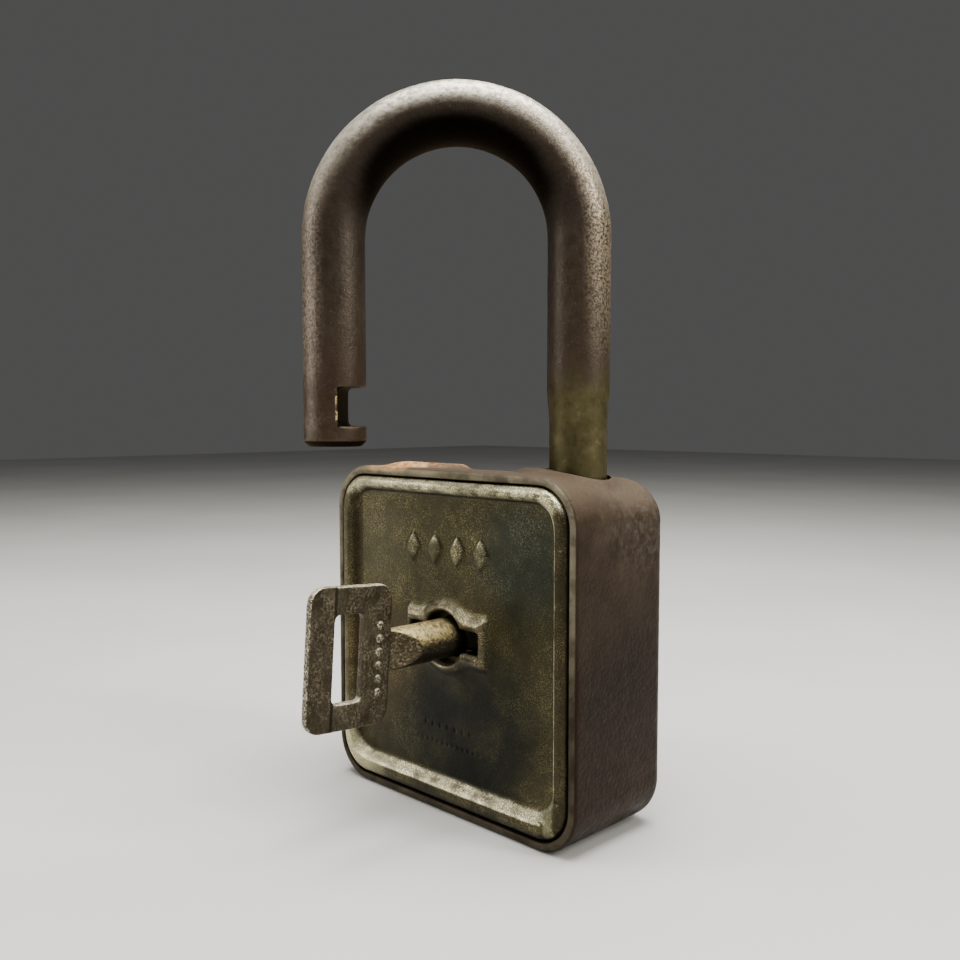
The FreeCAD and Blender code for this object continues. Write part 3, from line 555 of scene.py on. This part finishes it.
def make_front_plate(material):
    """Pressed plate: keyhole with a turned lip, flat panel, half-round bead and a turned-down edge."""
    columns = []
    for index in range(PLATE_STEPS):
        angle = 2 * math.pi * index / PLATE_STEPS
        columns.append((math.cos(angle), math.sin(angle), reach(keyhole_distance, 0.0, angle, 12.0),
                        reach(lip_distance, 0.7, angle, 16.0), reach(panel_distance, -0.5, angle, 45.0),
                        reach(plate_distance, 0.0, angle, 48.0)))
    rings = [[(c * hole, PLATE_BACK, KEY_Z + s * hole) for c, s, hole, lip, panel, edge in columns]]
    for step in range(LIP_STEPS + 1):
        share = (step / LIP_STEPS) ** 1.4
        rings.append([on_face(c, s, hole + (lip - hole) * share) for c, s, hole, lip, panel, edge in columns])
    for step in range(1, FACE_STEPS + 1):
        share = step / FACE_STEPS
        rings.append([on_face(c, s, lip + (panel - lip) * share) for c, s, hole, lip, panel, edge in columns])
    for step in range(1, BEAD_STEPS + 1):
        share = step / BEAD_STEPS
        rings.append([on_bead(c, s, panel, edge, share) for c, s, hole, lip, panel, edge in columns])
    for depth in (-10.6, -9.9, PLATE_BACK):
        rings.append([(c * edge, depth, KEY_Z + s * edge) for c, s, hole, lip, panel, edge in columns])
    for share in (0.66, 0.33):
        ring = []
        for c, s, hole, lip, panel, edge in columns:
            radius = hole + (edge - hole) * share
            ring.append((c * radius, PLATE_BACK, KEY_Z + s * radius))
        rings.append(ring)
    vertices, faces = loft(rings, closed=True)
    plate = make_piece("front_plate_skin", vertices, faces, "lock_body", material, 50.0)
    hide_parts("front_plate")


def on_face(c, s, radius):
    x, z = c * radius, KEY_Z + s * radius
    return (x, panel_depth(x, z), z)


def on_bead(c, s, panel, edge, share):
    """A point across the bead: a soft foot at the panel, a round crest, a steep outer side."""
    radius = panel + (edge - panel) * share
    x, z = c * radius, KEY_Z + s * radius
    foot = smoothstep(share / 0.5)
    shoulder = math.sqrt(max(0.0, 1.0 - max(0.0, (share - 0.58) / 0.42) ** 2.4))
    depth = PANEL + (CREST - PANEL) * foot
    outer = -10.9 + (depth + 10.9) * shoulder
    return (x, outer + nick_depth(x, z) * foot * shoulder, z)


# The key and the shackle

def worn_copy(name, node, voxel, smoothing, body, material):
    """A finely re-meshed copy of a CAD node, with its sharp edges softened as if by wear."""
    piece = bpy.data.objects.new(name, frame["nodes"][node].data.copy())
    bpy.context.scene.collection.objects.link(piece)
    remesh = piece.modifiers.new("remesh", "REMESH")
    remesh.mode = "VOXEL"
    remesh.voxel_size = voxel * MM
    smooth = piece.modifiers.new("smooth", "SMOOTH")
    smooth.factor = 0.5
    smooth.iterations = smoothing
    apply_modifiers(piece)
    piece.data.materials.clear()
    piece.data.materials.append(material)
    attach(piece, body)
    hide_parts(node)
    return piece


def displace(piece, depth):
    """Move every vertex inwards along its normal by depth(place, normal), all in millimetres."""
    mesh = piece.data
    moved = []
    for vertex in mesh.vertices:
        place = vertex.co / MM
        moved.append(vertex.co - vertex.normal * depth(place, vertex.normal) * MM)
    for vertex, co in zip(mesh.vertices, moved):
        vertex.co = co
    mesh.update()


BOW_ROOT = -24.3
BOW_TILT = math.radians(4.0)
DOT_HEIGHTS = (-6.6, -4.4, -2.2, 0.0, 2.2, 4.4)


def bow_place(place):
    """How far out along the bow, and how far up it, a point is."""
    out, up = BOW_ROOT - place.y, place.z - KEY_Z
    return (out * math.cos(BOW_TILT) + up * math.sin(BOW_TILT),
            up * math.cos(BOW_TILT) - out * math.sin(BOW_TILT))


def cast_depth(place, normal):
    """How far in the key's cast skin lies: grain all over, a thinner outer bar, a column of raised dots."""
    grain = noise.noise(place * 2.6) * 0.5 + noise.noise(place * 5.0) * 0.4
    depth = 0.060 + 0.07 * grain
    out, up = bow_place(place)
    facing = abs(normal.x) ** 4
    if out > 0.0:
        depth += 0.24 * smoothstep((out - 11.6) / 0.20) * facing
        if normal.x > 0.5:
            for height in DOT_HEIGHTS:
                away = math.hypot(out - 2.6, (up - height) * 1.1)
                depth -= 0.34 * smoothstep((0.86 - away) / 0.30)
    return depth


def make_key(material):
    key = worn_copy("key_cast", "key", 0.15, 4, "key", material)
    displace(key, cast_depth)
    tidy_normals(key, 180.0)


def forged_depth(place, normal):
    """Faint unevenness of the rod, none of it outwards."""
    return 0.035 + 0.05 * noise.noise(place * 0.22) + 0.012 * noise.noise(place * 1.3)


def make_shackle(material):
    shackle = worn_copy("shackle_rod", "shackle", 0.26, 3, "shackle", material)
    displace(shackle, forged_depth)
    tidy_normals(shackle, 180.0)


def make_lift_spring(material):
    """The shackle's spring, copied from its CAD node and carried with the lock body."""
    spring = bpy.data.objects.new("lift_spring", frame["nodes"]["shackle_spring"].data.copy())
    bpy.context.scene.collection.objects.link(spring)
    spring.data.materials.clear()
    spring.data.materials.append(material)
    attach(spring, "lock_body")
    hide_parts("shackle_spring")
    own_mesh(spring)


# Materials. Places in them are metres in the object's own frame.

SWING = 43.18
TOE_PLACE = (-0.00921, -0.02778)
NOTCH_FLOOR = 0.00147
NOTCH_LOW = 0.06825
NOTCH_HIGH = 0.07460
NOTCH_MIDDLE = (*TOE_PLACE, 0.0714)
LIP_CENTRE = (0, -0.0118, 0.0312)


def enamel():
    """Dark brown hammered enamel, worn through to pale rust on the left land and to bare steel at the rim,
    with painted light from above on the upper side, the top faces and the rim, and a painted highlight at the
    top right of the side.
    """
    shader = Shader("hammered_enamel")
    x, y, z = (shader.axis(letter) for letter in "XYZ")
    browns = [(0.30, (0.0050, 0.0026, 0.0014)), (0.55, (0.0090, 0.0048, 0.0026)),
              (0.78, (0.0160, 0.0090, 0.0050))]
    base = shader.ramp(shader.noise(55, 5, 0.6), browns)
    speck = shader.ramp(shader.noise(4200, 3, 0.6), [(0.60, 0.0), (0.72, 0.35)])
    base = shader.mix(speck, base, (0.060, 0.042, 0.028))
    # Patchy paler colour towards the top of the body: painted light from above.
    upper_light_patches = shader.times(shader.slope(z, 0.026, 0.058),
                         shader.ramp(shader.noise(95, 5, 0.62), [(0.32, 0.25), (0.66, 1.0)]))
    base = shader.mix(shader.times(upper_light_patches, 0.75), base, (0.060, 0.043, 0.029))
    # Upward-facing faces near the top painted paler: painted light from above.
    base = shader.mix(shader.times(shader.upward(0.15, 0.85), shader.slope(z, 0.04, 0.05), 0.55), base,
                      (0.120, 0.092, 0.066))
    patchy = shader.ramp(shader.noise(330, 6, 0.65), [(0.34, 0.10), (0.56, 1.0)])
    worn = shader.times(shader.slope(z, 0.0594, 0.0604), shader.window(x, -0.0185, -0.0125, 0.0040), patchy)
    rust = shader.ramp(shader.noise(700, 4, 0.6), [(0.32, (0.30, 0.110, 0.030)), (0.64, (0.60, 0.36, 0.17))])
    base = shader.mix(worn, base, rust)
    wear_noise = shader.ramp(shader.noise(240, 5, 0.65), [(0.34, 0.25), (0.64, 1.0)])
    # The rim's bare-steel wear line is made brighter towards the top: painted light from above on real wear.
    rim_top_light = shader.math("ADD", shader.times(shader.slope(z, 0.018, 0.050), 0.45), 0.15)
    rim = shader.times(shader.window(y, -0.0121, -0.01185, 0.0002), wear_noise, rim_top_light)
    base = shader.mix(rim, base, (0.290, 0.265, 0.185))
    # Pale patch at the top right of the side face: a painted highlight, broken up by noise like scuffing.
    corner_highlight_scuff = shader.times(shader.near((0.0285, 0.006, 0.0550), 0.003, 0.013),
                         shader.ramp(shader.noise(700, 7, 0.74), [(0.42, 0.0), (0.66, 0.5)]))
    base = shader.mix(corner_highlight_scuff, base, (0.13, 0.112, 0.092))
    dimples = shader.bump(shader.noise(1300, 4, 0.6), 0.85, 0.00020)
    normal = shader.bump(shader.noise(3400, 3, 0.6), 0.35, 0.00005, dimples)
    rough = shader.ramp(shader.noise(500, 4, 0.6), [(0.3, 0.40), (0.7, 0.55)])
    metal = shader.times(shader.math("MAXIMUM", rim, corner_highlight_scuff), 0.8)
    shader.principled(Base_Color=base, Roughness=rough, Metallic=metal, Normal=normal,
                      Specular_IOR_Level=0.13, Specular_Tint=(1.0, 0.74, 0.54, 1.0))
    return shader.material


def plate_tone(shader):
    """The plate's large patches: olive and brassy, cool and dark low down, brown at the left, pale at the
    upper left as painted light from the left.
    """
    cloud = shader.noise(70, 6, 0.62, distortion=0.6)
    base = shader.ramp(cloud, [(0.28, (0.0170, 0.0150, 0.0064)), (0.50, (0.0330, 0.0290, 0.0130)),
                               (0.72, (0.0600, 0.0530, 0.0250))])
    uneven = shader.ramp(shader.noise(110, 5, 0.6), [(0.28, 0.5), (0.60, 1.0)])
    low_cool = shader.times(shader.near((0.004, -0.0108, 0.015), 0.008, 0.017), uneven)
    base = shader.mix(low_cool, base, (0.0042, 0.0046, 0.0030))
    top_cool = shader.near((0.018, -0.0108, 0.046), 0.003, 0.012)
    base = shader.mix(shader.times(top_cool, 0.75), base, (0.020, 0.025, 0.019))
    # Pale patch at the upper left of the panel: painted light from the left.
    pale = shader.near((-0.021, -0.0108, 0.047), 0.002, 0.014)
    base = shader.mix(shader.times(pale, 0.5), base, (0.092, 0.084, 0.048))
    warm = shader.near((-0.022, -0.0108, 0.026), 0.003, 0.014)
    return shader.mix(shader.times(warm, 0.6), base, (0.058, 0.040, 0.017))


def tarnished_plate():
    """Bare steel plate tarnished olive and brassy, grainy all over, worn bright on its bead and lip, with
    painted light on upward-facing slopes, painted highlights along the top bead, on the right bead's inner
    edge and at the lower left, and painted shade on downward-facing slopes, on the left bead's inner slope
    and on the right bead's outer slope.
    """
    shader = Shader("tarnished_plate")
    x, y, z = (shader.axis(letter) for letter in "XYZ")
    base = plate_tone(shader)
    patch = shader.ramp(shader.noise(300, 6, 0.68), [(0.34, 0.25), (0.62, 1.0)])
    raised = shader.slope(y, -0.0112, -0.0122)
    base = shader.mix(shader.times(raised, patch, 0.38), base, (0.120, 0.105, 0.055))
    off_lip = shader.slope(shader.near(LIP_CENTRE, 0.0115, 0.001), 1.9, 0.0)
    lit_side = shader.times(shader.upward(0.10, 0.55), shader.slope(y, -0.0109, -0.0114), patch, off_lip)
    base = shader.mix(shader.times(lit_side, 0.90), base, (0.50, 0.47, 0.32))
    # Downward-facing slopes of the raised parts darkened: painted shade.
    shaded_underside = shader.times(shader.upward(-0.12, -0.50), shader.slope(y, -0.01085, -0.0112))
    base = shader.mix(shader.times(shaded_underside, 0.85), base, (0.0085, 0.0075, 0.0040))
    # Patchy pale colour along the top bead's crest: a painted highlight.
    crest = shader.times(raised, shader.slope(z, 0.0545, 0.0560),
                         shader.ramp(shader.noise(420, 6, 0.7), [(0.38, 0.2), (0.60, 1.0)]))
    base = shader.mix(shader.times(crest, 0.7), base, (0.44, 0.42, 0.28))
    right_bead = shader.times(raised, shader.window(x, 0.0242, 0.0256, 0.0004), patch)
    base = shader.mix(shader.times(right_bead, 0.75), base, (0.250, 0.235, 0.135))
    # The right bead's outer slope darkened: painted shade.
    right_outer_shade = shader.times(shader.slope(x, 0.0258, 0.0265), shader.slope(z, 0.0570, 0.0540))
    base = shader.mix(shader.times(right_outer_shade, 0.75), base, (0.022, 0.017, 0.008))
    # Dark line on the left bead's inner slope, in the crease by the panel: painted shade.
    left_inner_shade = shader.times(shader.window(x, -0.0252, -0.0238, 0.0005),
                              shader.window(z, 0.010, 0.054, 0.003))
    base = shader.mix(shader.times(left_inner_shade, 0.65), base, (0.024, 0.016, 0.008))
    # Bright line on the right bead's inner slope, turned towards the left lamp: a painted highlight.
    inner_line_highlight = shader.times(shader.toward((-1.0, 0.0, 0.0), 0.15, 0.55),
                              shader.slope(x, 0.0210, 0.0220), patch,
                              shader.slope(y, -0.0110, -0.0113), shader.slope(z, 0.006, 0.014))
    base = shader.mix(shader.times(inner_line_highlight, 0.8), base, (0.52, 0.50, 0.34))
    # Bright patch on the bead at the lower left: a painted highlight.
    corner_highlight = shader.times(shader.near((-0.0262, -0.012, 0.0045), 0.004, 0.009), raised)
    base = shader.mix(shader.times(corner_highlight, 0.8), base, (0.50, 0.46, 0.28))
    lip_face = shader.times(shader.near(LIP_CENTRE, 0.0105, 0.002),
                            shader.slope(y, -0.0114, -0.0121), patch)
    base = shader.mix(shader.times(lip_face, 0.40), base, (0.130, 0.104, 0.068))
    badge = shader.times(shader.window(z, 0.0430, 0.0498, 0.0003), shader.slope(y, -0.0111, -0.0115),
                         shader.window(x, -0.012, 0.012, 0.0005))
    base = shader.mix(shader.times(badge, patch, 0.55), base, (0.150, 0.135, 0.080))
    ends = shader.math("MAXIMUM", shader.slope(z, 0.0575, 0.0582), shader.slope(z, 0.0032, 0.0025))
    outer = shader.math("MAXIMUM", shader.slope(shader.math("ABSOLUTE", x), 0.0266, 0.0276), ends)
    shaded = shader.times(shader.slope(y, -0.0121, -0.0112), outer, 0.92)
    base = shader.mix(shaded, base, (0.012, 0.009, 0.006))
    brighter = shader.mix(1.0, base, (4.2, 4.0, 3.7), "MULTIPLY")
    grainy = shader.ramp(shader.noise(150, 4, 0.6), [(0.36, 0.15), (0.60, 1.0)])
    grain = shader.ramp(shader.noise(4700, 4, 0.68), [(0.52, 0.0), (0.61, 1.0)])
    base = shader.mix(shader.times(grain, grainy), base, brighter)
    pits = shader.ramp(shader.noise(2600, 3, 0.65), [(0.32, 0.75), (0.43, 0.0)])
    base = shader.mix(pits, base, (0.008, 0.007, 0.004))
    rough = shader.ramp(shader.noise(380, 5, 0.65), [(0.28, 0.34), (0.70, 0.54)])
    normal = shader.bump(shader.noise(1500, 4, 0.65), 0.30, 0.00008)
    normal = shader.bump(shader.noise(4300, 3, 0.6), 0.50, 0.00005, normal)
    shader.principled(Base_Color=base, Metallic=0.78, Roughness=rough, Normal=normal, Specular_IOR_Level=0.3)
    return shader.material


def across_notch(shader):
    """Distance from the toe leg's middle towards the side its notch opens to."""
    toward_x = math.cos(math.radians(SWING))
    toward_y = math.sin(math.radians(SWING))
    start = TOE_PLACE[0] * toward_x + TOE_PLACE[1] * toward_y
    along = shader.math("ADD", shader.times(shader.axis("X"), toward_x),
                        shader.times(shader.axis("Y"), toward_y))
    return shader.math("SUBTRACT", along, start)


def notch_share(shader):
    """1 on the faces cut into the toe leg by its notch."""
    deep = shader.slope(across_notch(shader), NOTCH_FLOOR - 0.00030, NOTCH_FLOOR - 0.00012)
    height = shader.window(shader.axis("Z"), NOTCH_LOW, NOTCH_HIGH, 0.00010)
    return shader.times(deep, height, shader.near(NOTCH_MIDDLE, 0.0080, 0.0084))


def notch_edge(shader):
    """1 along the upright edge where the notch's floor meets the outside of the rod."""
    foot = shader.window(across_notch(shader), NOTCH_FLOOR - 0.00045, NOTCH_FLOOR - 0.00025, 0.00012)
    height = shader.window(shader.axis("Z"), NOTCH_LOW + 0.0010, NOTCH_HIGH - 0.0006, 0.00050)
    return shader.times(foot, height, shader.near(NOTCH_MIDDLE, 0.0080, 0.0084))


def shackle_steel():
    """Dark brown painted rod: painted highlights with rubbing over the bend and along the legs, painted shade
    below the bend, on the toe's end and in its notch, a painted highlight on the notch's edge, rusty toe,
    greenish bare steel at the heel.
    """
    shader = Shader("shackle_steel")
    y, z = shader.axis("Y"), shader.axis("Z")
    blotch = shader.noise(260, 5, 0.6)
    browns = [(0.30, (0.013, 0.0078, 0.0046)), (0.55, (0.022, 0.0140, 0.0085)),
              (0.75, (0.036, 0.0245, 0.0155))]
    base = shader.ramp(shader.noise(70, 5, 0.6), browns)
    speck = shader.ramp(shader.noise(3600, 4, 0.66), [(0.60, 0.0), (0.70, 0.6)])
    base = shader.mix(speck, base, (0.120, 0.095, 0.068))
    grainy = shader.ramp(shader.noise(2300, 5, 0.70), [(0.42, 0.0), (0.58, 1.0)])
    # Grainy pale streak on the faces turned to the front left: a painted highlight with rubbing.
    left_sheen_and_rub = shader.times(shader.toward((-0.30, -0.95, 0.0), 0.55, 0.98),
                            shader.slope(y, -0.010, -0.020), grainy)
    base = shader.mix(shader.times(left_sheen_and_rub, 0.7), base, (0.200, 0.152, 0.102))
    # Grainy pale band on the right-facing side of the legs: a painted highlight with rubbing.
    right_sheen_and_rub = shader.times(shader.toward((0.96, 0.20, 0.12), 0.50, 0.98),
                             shader.slope(y, -0.020, -0.010), grainy, shader.slope(z, 0.074, 0.106))
    base = shader.mix(shader.times(right_sheen_and_rub, 0.75), base, (0.460, 0.375, 0.255))
    # Pale colour on the upward faces of the bend: a painted highlight from above with rubbing.
    top_sheen_and_rub = shader.times(shader.upward(-0.02, 0.75), shader.slope(z, 0.090, 0.112),
                          shader.ramp(shader.noise(900, 6, 0.70), [(0.34, 0.35), (0.60, 1.0)]))
    base = shader.mix(top_sheen_and_rub, base, (0.60, 0.555, 0.465))
    # Undersides of the bend made near black: painted shade.
    underside_shade = shader.times(shader.upward(0.15, -0.45), shader.slope(z, 0.088, 0.104))
    base = shader.mix(shader.times(underside_shade, 0.95), base, (0.0040, 0.0028, 0.0018))
    column = shader.near((0.0204, 0.0, 0.055), 0.0235, 0.006)
    edge = shader.math("ADD", z, shader.times(blotch, 0.012))
    low_leg = shader.times(column, shader.slope(edge, 0.0850, 0.0790))
    greens = [(0.30, (0.036, 0.029, 0.011)), (0.52, (0.082, 0.070, 0.030)), (0.72, (0.160, 0.140, 0.070))]
    base = shader.mix(low_leg, base, shader.ramp(shader.noise(230, 6, 0.68), greens))
    spot = shader.times(shader.near((0.0225, -0.0045, 0.0790), 0.0008, 0.0040),
                        shader.ramp(shader.noise(520, 6, 0.65), [(0.42, 0.0), (0.62, 0.7)]))
    base = shader.mix(spot, base, (0.030, 0.016, 0.007))
    toe = shader.times(shader.near((-0.0092, -0.0278, 0.065), 0.009, 0.012),
                       shader.ramp(shader.noise(330, 6, 0.66), [(0.34, 0.30), (0.62, 1.0)]))
    base = shader.mix(toe, base, (0.024, 0.0100, 0.0036))
    # Downward-facing chamfer at the toe's end darkened: painted shade.
    tip_shade = shader.times(shader.upward(-0.10, -0.50), shader.slope(z, 0.0674, 0.0668))
    base = shader.mix(shader.times(tip_shade, 0.9), base, (0.008, 0.006, 0.003))
    # The notch's cut faces made near black: painted shade inside the notch.
    cut = notch_share(shader)
    base = shader.mix(cut, base, (0.0075, 0.0065, 0.0030))
    # Bright brassy line along the notch's upright edge: a painted highlight on the burr.
    arris_highlight = shader.times(notch_edge(shader),
                         shader.ramp(shader.noise(1100, 5, 0.68), [(0.46, 0.0), (0.60, 1.0)]))
    base = shader.mix(arris_highlight, base, (0.50, 0.37, 0.15))
    rough = shader.ramp(shader.noise(520, 4, 0.6), [(0.30, 0.30), (0.70, 0.44)])
    normal = shader.bump(shader.noise(1500, 5, 0.68), 0.75, 0.00012)
    normal = shader.bump(shader.noise(3800, 3, 0.6), 0.40, 0.00004, normal)
    bare = shader.math("MAXIMUM", top_sheen_and_rub, right_sheen_and_rub)
    metal = shader.math("ADD", shader.times(low_leg, 0.75), shader.times(bare, 0.7), clamp=True)
    dark = shader.math("MAXIMUM", underside_shade, shader.math("MAXIMUM", cut, tip_shade))
    metal = shader.math("MAXIMUM", metal, dark)
    rough = shader.mix(dark, rough, (0.8, 0.8, 0.8))
    shader.principled(Base_Color=base, Metallic=metal, Roughness=rough, Normal=normal,
                      Specular_IOR_Level=0.50, Specular_Tint=(1.0, 0.88, 0.74, 1.0))
    return shader.material


def along_bow(shader):
    """How far out along the tilted bow a point is, in metres."""
    out = shader.math("SUBTRACT", BOW_ROOT * MM, shader.axis("Y"))
    up = shader.math("SUBTRACT", shader.axis("Z"), KEY_Z * MM)
    return shader.math("ADD", shader.times(out, math.cos(BOW_TILT)), shader.times(up, math.sin(BOW_TILT)))


def cast_key():
    """Grainy grey-brown cast metal with worn specks, a painted highlight with rubbing on top, brass on the
    shank with painted light above and painted shade beneath, painted shade inside the lock and along the
    bow's step.
    """
    shader = Shader("cast_key")
    x, y = shader.axis("X"), shader.axis("Y")
    greys = [(0.28, (0.026, 0.019, 0.010)), (0.50, (0.050, 0.040, 0.024)), (0.72, (0.095, 0.080, 0.052))]
    base = shader.ramp(shader.noise(190, 6, 0.65), greys)
    rubbed_area = shader.ramp(shader.noise(420, 4, 0.6), [(0.38, 0.10), (0.60, 1.0)])
    worn = shader.ramp(shader.noise(2600, 6, 0.72), [(0.45, 0.0), (0.66, 1.0)])
    base = shader.mix(shader.times(worn, rubbed_area, 0.55), base, (0.34, 0.29, 0.20))
    pits = shader.ramp(shader.noise(2400, 5, 0.68), [(0.34, 0.7), (0.46, 0.0)])
    base = shader.mix(pits, base, (0.014, 0.010, 0.006))
    # Raised dots painted bright: wear on their tops with a painted highlight.
    dots = shader.times(shader.slope(x, 0.00093, 0.00105), shader.slope(y, -0.0252, -0.0256))
    base = shader.mix(shader.times(dots, worn), base, (0.62, 0.55, 0.40))
    # Pale colour on upward faces: a painted highlight from above with rubbing.
    top_sheen_and_rub = shader.times(shader.upward(0.35, 0.80),
                          shader.ramp(shader.noise(1200, 5, 0.65), [(0.32, 0.35), (0.6, 1.0)]))
    base = shader.mix(top_sheen_and_rub, base, (0.62, 0.58, 0.45))
    # Bright brass colour on the shank's upward faces only: the shank's brass, with painted light from above.
    shank = shader.times(shader.slope(y, -0.0250, -0.0235), shader.upward(-0.05, 0.45))
    yellows = [(0.34, (0.20, 0.140, 0.040)), (0.60, (0.86, 0.70, 0.34))]
    brass = shader.ramp(shader.noise(1300, 5, 0.68), yellows)
    base = shader.mix(shader.times(shank, 0.9), base, brass)
    # Downward faces of the shank darkened: painted shade.
    shank_underside_shade = shader.times(shader.slope(y, -0.0250, -0.0235), shader.upward(-0.05, -0.50))
    base = shader.mix(shader.times(shank_underside_shade, 0.85), base, (0.014, 0.010, 0.004))
    # The key darkened from the keyhole's mouth inwards: painted shade inside the keyhole.
    darkening = shader.slope(y, -0.0135, -0.0105)
    base = shader.mix(shader.times(darkening, 0.95), base, (0.010, 0.007, 0.003))
    # Dark line along the step at the bow's outer bar: painted shade in the crease.
    step_shade_line = shader.times(shader.window(along_bow(shader), 0.01145, 0.01175, 0.00012),
                        shader.slope(shader.math("ABSOLUTE", x), 0.0004, 0.0006))
    base = shader.mix(shader.times(step_shade_line, 0.85), base, (0.008, 0.006, 0.003))
    outer_edge = shader.times(shader.toward((0.0, -0.998, 0.07), 0.35, 0.80),
                              shader.slope(y, -0.0380, -0.0388))
    base = shader.mix(shader.times(outer_edge, worn), base, (0.66, 0.61, 0.47))
    rough = shader.ramp(shader.noise(900, 4, 0.6), [(0.30, 0.27), (0.70, 0.45)])
    normal = shader.bump(shader.noise(1500, 6, 0.70), 1.0, 0.00030)
    shader.principled(Base_Color=base, Metallic=0.85, Roughness=rough, Normal=normal)
    return shader.material


def inner_steel(name, tint, worn_tint, scale, roughness):
    """Steel of an inside part: oily, faintly stained, with fine machining grain."""
    shader = Shader(name)
    stain = shader.noise(scale, 5, 0.6)
    base = shader.ramp(stain, [(0.30, tint), (0.68, worn_tint)])
    # Dark patches of oily dirt.
    darkening = shader.ramp(shader.noise(scale * 5, 4, 0.6), [(0.30, 0.7), (0.46, 0.0)])
    base = shader.mix(darkening, base, tuple(channel * 0.35 for channel in tint))
    grain = shader.noise(900, 3, 0.6, shader.stretched((1.0, 1.0, 6.0)))
    rough = shader.ramp(shader.noise(scale * 3, 4, 0.6), [(0.30, roughness), (0.70, roughness + 0.16)])
    normal = shader.bump(grain, 0.18, 0.00003)
    shader.principled(Base_Color=base, Metallic=0.95, Roughness=rough, Normal=normal)
    return shader.material


def floor_paper():
    """Pale matt paper."""
    shader = Shader("floor_paper")
    tone = shader.ramp(shader.noise(9, 3, 0.5), [(0.30, (0.50, 0.50, 0.49)), (0.70, (0.54, 0.54, 0.53))])
    shader.principled(Base_Color=tone, Roughness=0.85)
    return shader.material


def paint_nodes(materials):
    """Give every CAD node the material of its slot in the record."""
    for entry in frame["record"]["subparts"]:
        mesh = frame["nodes"][entry["node"]].data
        mesh.materials.clear()
        mesh.materials.append(materials[entry["material_slot"]])


def make_materials():
    return {
        "enamel": enamel(),
        "plated": tarnished_plate(),
        "shackle_steel": shackle_steel(),
        "key_metal": cast_key(),
        "guide_steel": inner_steel("guide_steel", (0.20, 0.19, 0.165), (0.36, 0.35, 0.32), 120, 0.30),
        "spring_steel": inner_steel("spring_steel", (0.16, 0.16, 0.165), (0.33, 0.33, 0.34), 260, 0.24),
        "case_steel": inner_steel("case_steel", (0.25, 0.24, 0.21), (0.43, 0.42, 0.39), 90, 0.32),
        # Brass parts made near black: painted shade for the dark inside of the keyhole.
        "brass": inner_steel("brass", (0.030, 0.021, 0.009), (0.080, 0.058, 0.026), 140, 0.42),
    }


make_camera()
make_lights()
make_floor(floor_paper())
materials = make_materials()
paint_nodes(materials)
make_shell(materials["enamel"])
make_front_plate(materials["plated"])
make_key(materials["key_metal"])
make_shackle(materials["shackle_steel"])
make_lift_spring(materials["spring_steel"])
